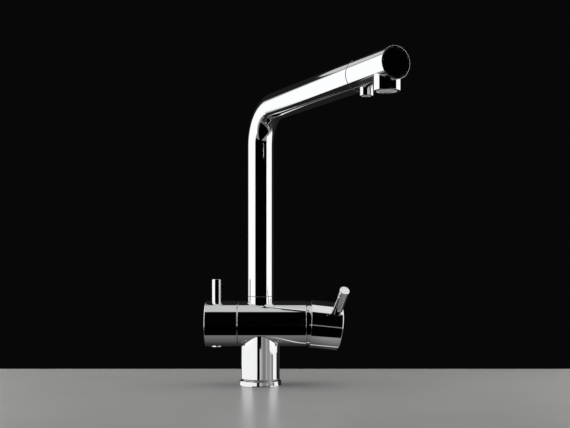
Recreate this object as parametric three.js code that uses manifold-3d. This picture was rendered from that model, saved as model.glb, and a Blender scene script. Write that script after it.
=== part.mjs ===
// Three way filtered water tap.
//
// A deck mounted kitchen tap with a horizontal round body. The knob on its left end opens the filtered
// water, the cap on its right end mixes hot and cold, and a swivelling spout keeps the two kinds of
// water apart up to their own outlets.
//
// Millimetres, +Z up. The origin is on the deck, on the axis of the column. +X runs along the body
// towards the mixer cap, and -Y is the side of the user.
//
// The npm packages three and manifold-3d are all it needs.

import * as THREE from 'three';
import { mergeVertices } from 'three/addons/utils/BufferGeometryUtils.js';
import Module from 'manifold-3d';

const wasm = await Module();
wasm.setup();

// ---------------------------------------------------------------------------------------------------
// Driving dimensions, in millimetres and degrees

// Clearances
const FIT = 0.3; // between pieces that seat on each other
const SEAM_GAP = 0.4; // between faces that turn past each other in view

// Spout
const TUBE_DIAMETER = 28;
const TUBE_WALL = 1.5;
const BEND_RADIUS = 37;
const ARM_HEIGHT = 293.9; // arm's axis above the deck
const ARM_AZIMUTH = -63.3; // from +X, as photographed
const ARM_LENGTH = 203.7; // column's axis to the head's seam
const HEAD_LENGTH = 59.8;
const HEAD_NECK_LENGTH = 12; // of the head inside the arm
const HEAD_NECK_WALL = 1.5;
const END_CAP_THICKNESS = 2;
const END_CHAMFER = 0.8;

// Outlets under the head
const MAIN_OUTLET_FROM_SEAM = 45.2;
const MAIN_OUTLET_DIAMETER = 23.3;
const MAIN_OUTLET_WALL = 2.5;
const MAIN_OUTLET_DROP = 7.6; // below the underside of the arm
const FILTERED_OUTLET_FROM_SEAM = 12.9;
const FILTERED_OUTLET_DIAMETER = 11.8;
const FILTERED_OUTLET_WALL = 1.8;
const FILTERED_OUTLET_DROP = 6.2;
const OUTLET_NECK_STEP = 1.2; // neck in the head's wall, narrower by this all round
const OUTLET_NECK_RISE = 2; // above the inside of the head's wall
const INSERT_RECESS = 0.8;
const AERATOR_HEIGHT = 6;
const AERATOR_SEAL_THICKNESS = 1.5;
const AERATOR_SEAL_WIDTH = 2;
const FILTERED_INSERT_HEIGHT = 3;
const FLOW_HOLE_DIAMETER = 1.6;
const INNER_FLOW_RING = 0.4; // of the aerator's radius
const OUTER_FLOW_RING = 0.78;
const INSERT_FLOW_RING = 0.62; // of the insert's radius
const OUTLET_EDGE_CHAMFER = 0.4;

// Inner tube for the filtered water
const WATER_TUBE_DIAMETER = 8;
const WATER_TUBE_WALL = 1;
const WATER_TUBE_OUTLET_BEND = 8;
const WATER_TUBE_PLUG_DEPTH = 8; // in the floor of the spout's socket
const WATER_TUBE_FEED_RISE = 1.5; // of the drilling that feeds it, above the end of its seat

// Body and pedestal
const BODY_DIAMETER = 48.4;
const BODY_AXIS_HEIGHT = 66.3;
const BODY_LEFT_LENGTH = 24.1; // from the column's axis to the knob's seam
const BODY_RIGHT_LENGTH = 48.9; // from the column's axis to the mixer end
const SEAM_CHAMFER = 0.4; // V groove between body and knob
const BODY_END_CHAMFER = 0.9;
const PEDESTAL_DIAMETER = 41.3;
const PEDESTAL_FOOT_ROUND = 1.4; // radius lost in the rounded foot
const PEDESTAL_FOOT_HEIGHT = 6;

// Spout socket in the body
const COLLAR_RISE = 4.6; // above the top of the body
const COLLAR_DEPTH = 10; // below the top of the body
const SOCKET_DEPTH = 26;
const SOCKET_PLENUM = 4; // free height under the spigot
const SOCKET_WEB = 2; // casting between the socket and the bores on both sides
const SPIGOT_GRIP = 20; // length inside the spout tube
const SPIGOT_WALL = 4.5;
const O_RING_THICKNESS = 1.8;
const LOWER_O_RING_RISE = 2.5; // above the foot of the spigot
const UPPER_O_RING_DROP = 4; // below the top of the collar
const RETAINING_SCREW_DIAMETER = 5;
const RETAINING_SCREW_RISE = 7; // above the foot of the spigot
const RETAINING_GROOVE_DEPTH = 1.5;
const RETAINING_SCREW_RECESS = 1; // of its head in the casting

// Fixing to the deck
const BASE_RING_DIAMETER = 44.4;
const BASE_RING_HEIGHT = 5.5;
const BASE_FLANGE_WIDTH = 0.2; // wider than the ring, all round
const BASE_FLANGE_HEIGHT = 1;
const BASE_RING_EDGE_CHAMFER = 0.6;
const GASKET_WIDTH = 2.4;
const GASKET_HEIGHT = 1.7;
const SHANK_DIAMETER = 32;
const SHANK_WALL = 3.5;
const SHANK_LENGTH = 50; // below the deck
const SHANK_GRIP = 24; // inside ring and pedestal, above the deck's ring
const DECK_THICKNESS = 10;
const WASHER_DIAMETER = 50;
const RUBBER_WASHER_THICKNESS = 3;
const STEEL_WASHER_THICKNESS = 2;
const NUT_ACROSS_FLATS = 42;
const NUT_HEIGHT = 8;

// Inlets
const INLET_DIAMETER = 9.8;
const INLET_BORE = 7;
const INLET_CIRCLE = 14.2; // diameter of the circle that their axes stand on
const INLET_LENGTH = 12; // below the casting
const INLET_THREAD_LENGTH = 4.5; // inside the casting
const DRILLING_DIAMETER = 4.8;

// Mixer cartridge
const CARTRIDGE_DIAMETER = 35;
const CARTRIDGE_WALL = 2;
const CARTRIDGE_FRONT_WALL = 2.5;
const CARTRIDGE_SEAL_THICKNESS = 1.2;
const CARTRIDGE_BASE_THICKNESS = 3.4;
const PORT_DIAMETER = 5.6;
const PORT_OFFSET = 7.8; // of the hot and cold ports from the cartridge's axis
const DISC_THICKNESS = 3.5;
const FIXED_DISC_DIAMETER = 29;
const MOVING_DISC_DIAMETER = 19;
const DRIVER_DIAMETER = 11;
const DRIVER_HEIGHT = 5.5;
const ROTOR_NECK_DIAMETER = 21;
const ROTOR_NECK_RISE = 3.5; // beyond the pivot
const ROTOR_SLOT_MARGIN = 2; // least height of the slot above and below the stem
const PIVOT_PIN_DIAMETER = 3;
const NUT_FLANGE_WIDTH = 2.5; // retaining nut, wider than the cartridge all round
const NUT_FLANGE_THICKNESS = 3.8;
const NUT_BOSS_LENGTH = 4.4;

// Stem, cap and lever of the mixer
const PIVOT_FROM_BODY_END = 3.1;
const STEM_WIDTH = 8;
const FINGER_DIAMETER = 4;
const FINGER_TIP_DIAMETER = 5;
const DOME_RADIUS = 23.6;
const DOME_LENGTH = 8.8;
const CAP_GAP = 3.9; // from body to cap on the axis, when the cap stands straight
const CAP_DIAMETER = 50.8;
const CAP_WALL = 3.5;
const CAP_SKIRT_WALL = 1.3; // where the cap passes over the dome
const CAP_SKIRT_END = 10.5; // from the pivot, along the cap's own axis
const CAP_LENGTH = 32.2;
const CAP_RIM_SLANT = 5.5; // rim nearer the body on the lever's side
const CAP_RIM_CHAMFER = 0.5;
const CAP_END_CHAMFER = 1.3;
const CAP_END_STEP = 0.45; // corner of the rounded end, before the end and in from the side
const CAP_BOSS_DIAMETER = 17;
const CAP_BOSS_CLEARANCE = 2.5; // from the dome's front to the boss in the cap
const CAP_LEVER_FROM_END = 7.75;
const REST_TURN = 51; // lever's turn towards the user, as photographed
const REST_TILT = 9.9; // lever's tilt away from the body, as photographed
const FULL_TILT = 11.4; // from closed to fully open

// Pin levers
const LEVER_DIAMETER = 10.3;
const MIXER_LEVER_REACH = 37.1; // above the cap's surface
const FILTER_LEVER_REACH = 23.8; // above the knob's surface
const FILTER_LEVER_TAIL = 1; // beyond the far side of the knob
const LEVER_EDGE_CHAMFER = 0.4;
const LEVER_SEAT_DEPTH = 12; // in the mixer cap

// Filter knob and valve
const KNOB_LENGTH = 34.6;
const KNOB_END_CHAMFER = 1.2;
const KNOB_LEVER_FROM_END = 12.1;
const VALVE_BOSS_DIAMETER = 28;
const VALVE_BOSS_LENGTH = 6;
const VALVE_DIAMETER = 17.4;
const VALVE_WALL = 1.4;
const VALVE_FLANGE_WIDTH = 3;
const VALVE_FLANGE_THICKNESS = 2.2;
const VALVE_DISC_THICKNESS = 2;
const VALVE_DISC_HOLE = 0.25; // radius of its holes, of its own radius
const VALVE_O_RING_THICKNESS = 1.4;
const SPINDLE_DIAMETER = 8;
const SPINDLE_GRIP = 6; // length in the knob
const KNOB_HOLLOW_CLEARANCE = 1; // round the valve boss
const GRUB_SCREW_DIAMETER = 4;
const GRUB_SCREW_LENGTH = 5;

// Facets
const ROUND_SIDES = 40;
const TUBE_SIDES = 28;
const BORE_SIDES = 18;
const SMALL_SIDES = 10;
const BEND_STEPS = 7;
const DOME_STEPS = 4;
const FOOT_STEPS = 3;

// ---------------------------------------------------------------------------------------------------
// Dimensions worked out from those above

const radians = THREE.MathUtils.degToRad;

const tubeRadius = TUBE_DIAMETER / 2;
const tubeBore = tubeRadius - TUBE_WALL;
const armEnd = ARM_LENGTH + HEAD_LENGTH;
const mainOutletReach = ARM_LENGTH + MAIN_OUTLET_FROM_SEAM;
const filteredOutletReach = ARM_LENGTH + FILTERED_OUTLET_FROM_SEAM;
const mainOutletBottom = ARM_HEIGHT - tubeRadius - MAIN_OUTLET_DROP;
const filteredOutletBottom = ARM_HEIGHT - tubeRadius - FILTERED_OUTLET_DROP;
const outletNeckTop = ARM_HEIGHT - tubeBore + OUTLET_NECK_RISE;
const waterTubeRadius = WATER_TUBE_DIAMETER / 2;

const bodyRadius = BODY_DIAMETER / 2;
const bodyTop = BODY_AXIS_HEIGHT + bodyRadius;
const pedestalRadius = PEDESTAL_DIAMETER / 2;
const pedestalBottom = BASE_RING_HEIGHT + FIT;
const collarTop = bodyTop + COLLAR_RISE;
const collarBottom = bodyTop - COLLAR_DEPTH;
const tubeBottom = collarTop + SEAM_GAP;
const socketRadius = tubeRadius + FIT;
const socketFloor = bodyTop - SOCKET_DEPTH;
const spigotRadius = tubeBore - FIT;
const spigotBottom = socketFloor + SOCKET_PLENUM;
const spigotTop = tubeBottom + SPIGOT_GRIP;
const oRingMiddle = tubeBore - FIT / 2 - O_RING_THICKNESS / 2;
const oRingGroove = oRingMiddle - O_RING_THICKNESS / 2 - FIT / 2;
const lowerORing = spigotBottom + LOWER_O_RING_RISE;
const upperORing = collarTop - UPPER_O_RING_DROP;
const retainingScrewHeight = spigotBottom + RETAINING_SCREW_RISE;
const retainingScrewRadius = RETAINING_SCREW_DIAMETER / 2;

const shankRadius = SHANK_DIAMETER / 2;
const shankTop = BASE_RING_HEIGHT + SHANK_GRIP;
const hollowRadius = shankRadius + FIT;
const flangeRadius = BASE_RING_DIAMETER / 2 + BASE_FLANGE_WIDTH;
const gasketMiddle = (hollowRadius + flangeRadius) / 2;
const castingBottom = shankTop + FIT;
const inletRadius = INLET_DIAMETER / 2;
const drillingRadius = DRILLING_DIAMETER / 2;

const cartridgeRadius = CARTRIDGE_DIAMETER / 2;
const chamberRadius = cartridgeRadius + FIT;
const chamberFloor = socketRadius + SOCKET_WEB;
const mixerEnd = BODY_RIGHT_LENGTH;
const pivotX = mixerEnd + PIVOT_FROM_BODY_END;
const nutRadius = chamberRadius + NUT_FLANGE_WIDTH;
const nutFront = mixerEnd - FIT;
const nutBack = nutFront - NUT_FLANGE_THICKNESS;
const nutBossFront = nutFront + NUT_BOSS_LENGTH;
const housingFront = nutBack - FIT;
const housingInnerFront = housingFront - CARTRIDGE_FRONT_WALL;
const sealBack = chamberFloor + FIT;
const baseBack = sealBack + CARTRIDGE_SEAL_THICKNESS + FIT;
const baseFront = baseBack + CARTRIDGE_BASE_THICKNESS;
const housingBack = baseFront + FIT;
const fixedDiscFront = housingBack + DISC_THICKNESS;
const movingDiscBack = fixedDiscFront + FIT;
const driverFront = movingDiscBack + DISC_THICKNESS + DRIVER_HEIGHT;
const rotorBack = driverFront + SEAM_GAP;
const rotorShoulder = housingInnerFront - FIT;
const rotorFront = pivotX + ROTOR_NECK_RISE;
const rotorRadius = cartridgeRadius - CARTRIDGE_WALL - FIT;
const rotorNeckRadius = ROTOR_NECK_DIAMETER / 2;
const nutBore = rotorNeckRadius + 2 * FIT;
const fingerRadius = FINGER_DIAMETER / 2;
const fingerTipRadius = FINGER_TIP_DIAMETER / 2;
const fingerLength = pivotX - driverFront + fingerTipRadius - FIT;
const stemHalf = STEM_WIDTH / 2;
const slotHalfWidth = stemHalf + FIT;
const slotHalfHeight = Math.max(
  stemHalf + ROTOR_SLOT_MARGIN,
  (pivotX - rotorBack) * Math.tan(radians(FULL_TILT)) + fingerRadius + 2 * FIT,
);
const discShift = fingerLength * Math.sin(radians(REST_TILT));

const capRadius = CAP_DIAMETER / 2;
const capBore = capRadius - CAP_WALL;
const capSkirtBore = capRadius - CAP_SKIRT_WALL;
const capRim = CAP_GAP - PIVOT_FROM_BODY_END; // from the pivot, along the cap's own axis
const capEnd = capRim + CAP_LENGTH;
const capFloor = capEnd - 2 * CAP_LEVER_FROM_END;
const capBossRadius = CAP_BOSS_DIAMETER / 2;
const domeBack = mixerEnd + FIT;
const domeFront = domeBack + DOME_LENGTH;
const domeBore = nutRadius - NUT_FLANGE_WIDTH;
const capBossBack = domeFront - pivotX + CAP_BOSS_CLEARANCE;
const capScrewX = (capBossBack + capFloor) / 2;
const capLeverX = capEnd - CAP_LEVER_FROM_END;

const leverRadius = LEVER_DIAMETER / 2;
const leverHole = leverRadius + FIT;
const grubScrewRadius = GRUB_SCREW_DIAMETER / 2;
const screwHole = grubScrewRadius + FIT;

const knobRight = -(BODY_LEFT_LENGTH + SEAM_GAP);
const knobLeft = knobRight - KNOB_LENGTH;
const knobLeverX = knobLeft + KNOB_LEVER_FROM_END;
const spindleRadius = SPINDLE_DIAMETER / 2;
const valveRadius = VALVE_DIAMETER / 2;
const valveBore = valveRadius - VALVE_WALL;
const valveBossRadius = VALVE_BOSS_DIAMETER / 2;
const valveBossEnd = -(BODY_LEFT_LENGTH + VALVE_BOSS_LENGTH);
const valveInner = -(socketRadius + SOCKET_WEB + FIT); // end of the valve nearest the column
const valveFlangeInner = valveBossEnd - FIT;
const valveFlangeOuter = valveFlangeInner - VALVE_FLANGE_THICKNESS;
const valveFlangeRadius = valveRadius + VALVE_FLANGE_WIDTH;
const knobHollowRadius = valveBossRadius + KNOB_HOLLOW_CLEARANCE;
const knobHollowEnd = valveFlangeOuter - SEAM_GAP;
const spindleEnd = knobHollowEnd - SPINDLE_GRIP;
const filterDiscFixedEnd = valveInner - VALVE_DISC_THICKNESS;
const filterDiscTurningStart = filterDiscFixedEnd - FIT;
const filterDiscTurningEnd = filterDiscTurningStart - VALVE_DISC_THICKNESS;
const spindleHeadStart = filterDiscTurningEnd - FIT;
const spindleHeadEnd = spindleHeadStart - VALVE_DISC_THICKNESS;
const valveChamberEnd = spindleHeadEnd - FIT;
const valveORingX = (valveChamberEnd + valveFlangeInner) / 2;

// ---------------------------------------------------------------------------------------------------
// Solids

const MERGE_DISTANCE = 1e-4;

/** Closed solid of a geometry: doubled corners merged, collapsed triangles dropped, faces outwards. */
function toSolid(geometry) {
  const bare = geometry.clone();
  for (const name of Object.keys(bare.attributes)) {
    if (name !== 'position') bare.deleteAttribute(name);
  }
  const merged = mergeVertices(bare, MERGE_DISTANCE);
  const position = merged.getAttribute('position');
  const index = merged.getIndex();
  const [a, b, c] = [new THREE.Vector3(), new THREE.Vector3(), new THREE.Vector3()];
  const corners = [];
  let volume = 0;
  for (let i = 0; i < index.count; i += 3) {
    const [ia, ib, ic] = [index.getX(i), index.getX(i + 1), index.getX(i + 2)];
    if (ia === ib || ib === ic || ic === ia) continue;
    corners.push(ia, ib, ic);
    a.fromBufferAttribute(position, ia);
    b.fromBufferAttribute(position, ib);
    c.fromBufferAttribute(position, ic);
    volume += a.dot(b.cross(c));
  }
  if (volume < 0) corners.reverse();
  return new wasm.Manifold(
    new wasm.Mesh({
      numProp: 3,
      vertProperties: Float32Array.from(position.array),
      triVerts: Uint32Array.from(corners),
    }),
  );
}

function toGeometry(solid) {
  const mesh = solid.getMesh();
  const geometry = new THREE.BufferGeometry();
  geometry.setAttribute('position', new THREE.BufferAttribute(Float32Array.from(mesh.vertProperties), 3));
  geometry.setIndex(new THREE.BufferAttribute(Uint32Array.from(mesh.triVerts), 1));
  return geometry;
}

function join(first, ...others) {
  return toGeometry(others.reduce((sum, other) => sum.add(toSolid(other)), toSolid(first)));
}

function cut(first, ...others) {
  return toGeometry(others.reduce((rest, other) => rest.subtract(toSolid(other)), toSolid(first)));
}

/** Solid turned about +Z. The profile is a list of [radius, height] that starts and ends on the axis
 * or closes on itself. */
function turned(profile, sides) {
  const points = profile.map(([radius, height]) => new THREE.Vector2(radius, height));
  return new THREE.LatheGeometry(points, sides).rotateX(Math.PI / 2);
}

function rod(radius, low, high, sides) {
  return turned([[0, low], [radius, low], [radius, high], [0, high]], sides);
}

function chamferedRod(radius, low, high, chamferLow, chamferHigh, sides) {
  return turned([
    [0, low],
    [radius - chamferLow, low],
    [radius, low + chamferLow],
    [radius, high - chamferHigh],
    [radius - chamferHigh, high],
    [0, high],
  ], sides);
}

function ring(outer, inner, low, high, sides) {
  return turned([[inner, low], [outer, low], [outer, high], [inner, high], [inner, low]], sides);
}

/** Ring of round section, lying level. */
function torus(middle, thickness, height) {
  return new THREE.TorusGeometry(middle, thickness / 2, 8, BORE_SIDES).translate(0, 0, height);
}

/** Turns a solid made about +Z so that its heights run along +X, at the height of the body's axis. */
function alongBody(geometry) {
  return geometry.rotateY(Math.PI / 2).translate(0, 0, BODY_AXIS_HEIGHT);
}

/** The same without the lift, for pieces built about their own axis. */
function alongX(geometry) {
  return geometry.rotateY(Math.PI / 2);
}

/** Turns a solid made about +Z so that its heights run along -Y, towards the user. */
function alongMinusY(geometry) {
  return geometry.rotateX(Math.PI / 2);
}

function block(low, high) {
  const size = high.map((value, axis) => value - low[axis]);
  const middle = high.map((value, axis) => (value + low[axis]) / 2);
  return new THREE.BoxGeometry(...size).translate(...middle);
}

/** Straight drilling from one point to another. */
function drilling(from, to, radius) {
  const start = new THREE.Vector3(...from);
  const way = new THREE.Vector3(...to).sub(start);
  const turn = new THREE.Quaternion().setFromUnitVectors(new THREE.Vector3(0, 0, 1), way.clone().normalize());
  return rod(radius, 0, way.length(), SMALL_SIDES).applyQuaternion(turn).translate(...from);
}

/** Path of straight runs and round bends in the XZ plane, given by its corners and the bend radius at
 * each inner corner. Each straight run takes one step and each bend takes bendSteps of them. */
class PipePath extends THREE.Curve {
  constructor(corners, bendRadii, bendSteps) {
    super();
    this.stations = [corners[0]];
    bendRadii.forEach((radius, i) => {
      const [before, corner, after] = corners.slice(i, i + 3);
      const inward = corner.clone().sub(before).normalize();
      const outward = after.clone().sub(corner).normalize();
      const angle = inward.angleTo(outward);
      const start = corner.clone().addScaledVector(inward, -radius * Math.tan(angle / 2));
      const side = outward.clone().addScaledVector(inward, -outward.dot(inward)).normalize();
      for (let step = 0; step <= bendSteps; step += 1) {
        const turn = (angle * step) / bendSteps;
        this.stations.push(
          start
            .clone()
            .addScaledVector(inward, radius * Math.sin(turn))
            .addScaledVector(side, radius * (1 - Math.cos(turn))),
        );
      }
    });
    this.stations.push(corners[corners.length - 1]);
    this.steps = this.stations.length - 1;
  }

  getPoint(t, target = new THREE.Vector3()) {
    const place = Math.min(Math.max(t, 0), 1) * this.steps;
    const from = Math.min(Math.floor(place), this.steps - 1);
    return target.lerpVectors(this.stations[from], this.stations[from + 1], place - from);
  }

  /** Steps are even in the path's own parameter, so that each falls on a station. */
  getUtoTmapping(u) {
    return u;
  }

  /** At a station the tangent is halfway between the runs that meet there. */
  getTangent(t, target = new THREE.Vector3()) {
    const reach = 0.25 / this.steps;
    const ahead = this.getPoint(t + reach);
    const here = this.getPoint(t);
    const behind = this.getPoint(t - reach);
    const outward = ahead.sub(here).normalize();
    const inward = here.sub(behind).normalize();
    return target.copy(outward).add(inward).normalize();
  }
}

/** Hollow tube along a pipe path. */
function pipe(radius, wall, path, sides) {
  const section = new THREE.Shape().absarc(0, 0, radius, 0, 2 * Math.PI);
  section.holes.push(new THREE.Path().absarc(0, 0, radius - wall, 0, 2 * Math.PI, true));
  return new THREE.ExtrudeGeometry(section, {
    steps: path.steps,
    curveSegments: sides / 2,
    extrudePath: path,
    bevelEnabled: false,
  });
}

// ---------------------------------------------------------------------------------------------------
// Finishes

const chrome = () => new THREE.MeshStandardMaterial({ color: 0xe6e8ea, metalness: 1, roughness: 0.06 });
const brass = () => new THREE.MeshStandardMaterial({ color: 0xc2a155, metalness: 1, roughness: 0.35 });
const steel = () => new THREE.MeshStandardMaterial({ color: 0xb4b6b8, metalness: 1, roughness: 0.3 });
const rubber = () => new THREE.MeshStandardMaterial({ color: 0x17181a, metalness: 0, roughness: 0.8 });
const plastic = () => new THREE.MeshStandardMaterial({ color: 0xe8e7e2, metalness: 0, roughness: 0.5 });
const ceramic = () => new THREE.MeshStandardMaterial({ color: 0xf2efe9, metalness: 0, roughness: 0.2 });

const tap = new THREE.Group();
const spout = new THREE.Group();
spout.rotation.z = radians(ARM_AZIMUTH);
const cartridgeTurn = new THREE.Group();
cartridgeTurn.position.set(pivotX, 0, BODY_AXIS_HEIGHT);
cartridgeTurn.rotation.x = radians(REST_TURN);
const handle = new THREE.Group();
handle.rotation.y = radians(REST_TILT);
const filterKnob = new THREE.Group();
cartridgeTurn.add(handle);
tap.add(spout, cartridgeTurn, filterKnob);

function add(group, name, geometry, material) {
  const mesh = new THREE.Mesh(toGeometry(toSolid(geometry)), material);
  mesh.name = name;
  group.add(mesh);
}

// ---------------------------------------------------------------------------------------------------
// Fixing to the deck

function makeBaseRing() {
  const ringRadius = BASE_RING_DIAMETER / 2;
  const grooveDepth = GASKET_HEIGHT + FIT;
  const body = turned([
    [hollowRadius, 0],
    [flangeRadius, 0],
    [flangeRadius, BASE_FLANGE_HEIGHT],
    [ringRadius, BASE_FLANGE_HEIGHT],
    [ringRadius, BASE_RING_HEIGHT - BASE_RING_EDGE_CHAMFER],
    [ringRadius - BASE_RING_EDGE_CHAMFER, BASE_RING_HEIGHT],
    [hollowRadius, BASE_RING_HEIGHT],
    [hollowRadius, 0],
  ], ROUND_SIDES);
  const groove = ring(gasketMiddle + GASKET_WIDTH / 2 + FIT, gasketMiddle - GASKET_WIDTH / 2 - FIT,
    -1, grooveDepth, TUBE_SIDES);
  add(tap, 'base_ring', cut(body, groove), chrome());
}

function makeDeckFixing() {
  const half = GASKET_WIDTH / 2;
  add(tap, 'base_gasket', ring(gasketMiddle + half, gasketMiddle - half, 0, GASKET_HEIGHT, TUBE_SIDES),
    rubber());
  add(tap, 'threaded_shank', ring(shankRadius, shankRadius - SHANK_WALL, -SHANK_LENGTH, shankTop,
    TUBE_SIDES), brass());
  const rubberBottom = -DECK_THICKNESS - RUBBER_WASHER_THICKNESS;
  add(tap, 'deck_washer_rubber', ring(WASHER_DIAMETER / 2, hollowRadius, rubberBottom,
    -DECK_THICKNESS, TUBE_SIDES), rubber());
  const steelTop = rubberBottom - FIT;
  const steelBottom = steelTop - STEEL_WASHER_THICKNESS;
  add(tap, 'deck_washer_steel', ring(WASHER_DIAMETER / 2, hollowRadius, steelBottom, steelTop,
    TUBE_SIDES), steel());
  const nutTop = steelBottom - FIT;
  const hexagon = rod(NUT_ACROSS_FLATS / 2 / Math.cos(Math.PI / 6), nutTop - NUT_HEIGHT, nutTop, 6);
  const bore = rod(hollowRadius, nutTop - NUT_HEIGHT - 1, nutTop + 1, TUBE_SIDES);
  add(tap, 'fixing_nut', cut(hexagon, bore), brass());
}

// ---------------------------------------------------------------------------------------------------
// Body

/** Places of the three inlets under the casting, as angles about the column. */
const INLETS = [
  { name: 'inlet_hot', angle: radians(60) },
  { name: 'inlet_cold', angle: radians(-60) },
  { name: 'inlet_filtered', angle: radians(180) },
];

function inletPlace(angle, height) {
  const radius = INLET_CIRCLE / 2;
  return [radius * Math.cos(angle), radius * Math.sin(angle), height];
}

function makeInlets() {
  for (const { name, angle } of INLETS) {
    const place = inletPlace(angle, 0);
    const sleeve = ring(inletRadius, INLET_BORE / 2, castingBottom - INLET_LENGTH,
      castingBottom + INLET_THREAD_LENGTH, BORE_SIDES);
    add(tap, name, sleeve.translate(...place), brass());
  }
}

function makeBody() {
  const barrel = alongBody(chamferedRod(bodyRadius, -BODY_LEFT_LENGTH, mixerEnd, SEAM_CHAMFER,
    BODY_END_CHAMFER, ROUND_SIDES));
  const footRound = [];
  for (let step = 0; step <= FOOT_STEPS; step += 1) {
    const turn = (Math.PI / 2) * (step / FOOT_STEPS);
    footRound.push([
      pedestalRadius - PEDESTAL_FOOT_ROUND * (1 - Math.sin(turn)),
      pedestalBottom + PEDESTAL_FOOT_HEIGHT * (1 - Math.cos(turn)),
    ]);
  }
  const foot = turned([
    [0, pedestalBottom],
    ...footRound,
    [pedestalRadius, BODY_AXIS_HEIGHT],
    [0, BODY_AXIS_HEIGHT],
  ], ROUND_SIDES);
  const valveBoss = alongBody(rod(valveBossRadius, valveBossEnd, 0, TUBE_SIDES));
  const hollows = [
    // thread for the shank
    rod(hollowRadius, pedestalBottom - 1, castingBottom, TUBE_SIDES),
    // spout socket, and the seat of the inner tube in its floor
    rod(socketRadius, socketFloor, bodyTop + 1, TUBE_SIDES),
    rod(waterTubeRadius + FIT, socketFloor - WATER_TUBE_PLUG_DEPTH, socketFloor + 1, SMALL_SIDES),
    // cartridge chamber, and the thread of its nut
    alongBody(rod(chamberRadius, chamberFloor, mixerEnd + 1, TUBE_SIDES)),
    alongBody(rod(nutRadius + FIT, nutBack - FIT, mixerEnd + 1, TUBE_SIDES)),
    // valve bore
    alongBody(rod(valveRadius + FIT, valveBossEnd - 1, valveInner + FIT, BORE_SIDES)),
    // mixed water, from the chamber to the foot of the socket
    drilling([chamberFloor + 1, 0, socketFloor + drillingRadius], [socketRadius - 2, 0,
      socketFloor + drillingRadius], drillingRadius - FIT),
    // filtered water, from its valve to the seat of the inner tube
    drilling([valveInner - 1, 0, BODY_AXIS_HEIGHT - valveRadius + drillingRadius],
      [0, 0, socketFloor - WATER_TUBE_PLUG_DEPTH + WATER_TUBE_FEED_RISE], drillingRadius - FIT),
    // retaining screw
    alongMinusY(rod(retainingScrewRadius + FIT, -bodyRadius - 1, -socketRadius + 2, SMALL_SIDES))
      .translate(0, 0, retainingScrewHeight),
  ];
  const valvePort = [valveChamberEnd + VALVE_DISC_THICKNESS, 0, BODY_AXIS_HEIGHT - valveRadius];
  const chamberPort = [chamberFloor + 1, PORT_OFFSET, BODY_AXIS_HEIGHT - PORT_OFFSET];
  const ports = {
    inlet_hot: chamberPort,
    inlet_cold: [chamberPort[0], -chamberPort[1], chamberPort[2]],
    inlet_filtered: valvePort,
  };
  for (const { name, angle } of INLETS) {
    const threadTop = castingBottom + INLET_THREAD_LENGTH + FIT;
    hollows.push(rod(inletRadius + FIT, castingBottom - 1, threadTop, SMALL_SIDES)
      .translate(...inletPlace(angle, 0)));
    hollows.push(drilling(inletPlace(angle, threadTop - 1), ports[name], drillingRadius));
  }
  add(tap, 'mixer_body', cut(join(barrel, foot, valveBoss), ...hollows), chrome());
}

// ---------------------------------------------------------------------------------------------------
// Spout

function makeSwivel() {
  const bush = ring(tubeRadius, tubeBore, spigotBottom, collarBottom - FIT, TUBE_SIDES);
  const screwHoleInBush = alongMinusY(rod(retainingScrewRadius + FIT, -tubeRadius - 1, -tubeBore + 2,
    SMALL_SIDES)).translate(0, 0, retainingScrewHeight);
  add(tap, 'swivel_bush', cut(bush, screwHoleInBush), plastic());
  add(tap, 'spout_collar', ring(tubeRadius, tubeBore, collarBottom, collarTop, TUBE_SIDES), chrome());
  const screwTip = spigotRadius - RETAINING_GROOVE_DEPTH + FIT;
  const castingFace = Math.sqrt(bodyRadius ** 2 - (retainingScrewHeight - BODY_AXIS_HEIGHT) ** 2);
  const screwEnd = castingFace - RETAINING_SCREW_RECESS;
  add(tap, 'spout_retaining_screw', alongMinusY(rod(retainingScrewRadius, -screwEnd, -screwTip,
    SMALL_SIDES)).translate(0, 0, retainingScrewHeight), steel());
}

function makeSpigot() {
  const grooves = [lowerORing, upperORing].map((height) => ring(spigotRadius + 1, oRingGroove,
    height - O_RING_THICKNESS / 2 - FIT / 2, height + O_RING_THICKNESS / 2 + FIT / 2, BORE_SIDES));
  const retainingGroove = ring(spigotRadius + 1, spigotRadius - RETAINING_GROOVE_DEPTH,
    retainingScrewHeight - retainingScrewRadius - FIT, retainingScrewHeight + retainingScrewRadius + FIT,
    BORE_SIDES);
  const sleeve = ring(spigotRadius, spigotRadius - SPIGOT_WALL, spigotBottom, spigotTop, BORE_SIDES);
  add(spout, 'spout_spigot', cut(sleeve, ...grooves, retainingGroove), brass());
  add(spout, 'spout_o_ring_lower', torus(oRingMiddle, O_RING_THICKNESS, lowerORing), rubber());
  add(spout, 'spout_o_ring_upper', torus(oRingMiddle, O_RING_THICKNESS, upperORing), rubber());
}

function makeSpoutTube() {
  const corners = [
    new THREE.Vector3(0, 0, tubeBottom),
    new THREE.Vector3(0, 0, ARM_HEIGHT),
    new THREE.Vector3(ARM_LENGTH, 0, ARM_HEIGHT),
  ];
  const path = new PipePath(corners, [BEND_RADIUS], BEND_STEPS);
  add(spout, 'spout_tube', pipe(tubeRadius, TUBE_WALL, path, TUBE_SIDES), chrome());
}

function makeWaterTube() {
  const corners = [
    new THREE.Vector3(0, 0, socketFloor - WATER_TUBE_PLUG_DEPTH + drillingRadius + FIT),
    new THREE.Vector3(0, 0, ARM_HEIGHT),
    new THREE.Vector3(filteredOutletReach, 0, ARM_HEIGHT),
    new THREE.Vector3(filteredOutletReach, 0, outletNeckTop - FILTERED_OUTLET_WALL),
  ];
  const path = new PipePath(corners, [BEND_RADIUS, WATER_TUBE_OUTLET_BEND], BEND_STEPS);
  add(spout, 'filtered_water_tube', pipe(waterTubeRadius, WATER_TUBE_WALL, path, SMALL_SIDES), plastic());
}

/** Rod along the arm's axis, as the spout's group sees it. */
function alongArm(geometry) {
  return alongX(geometry).translate(0, 0, ARM_HEIGHT);
}

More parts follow.
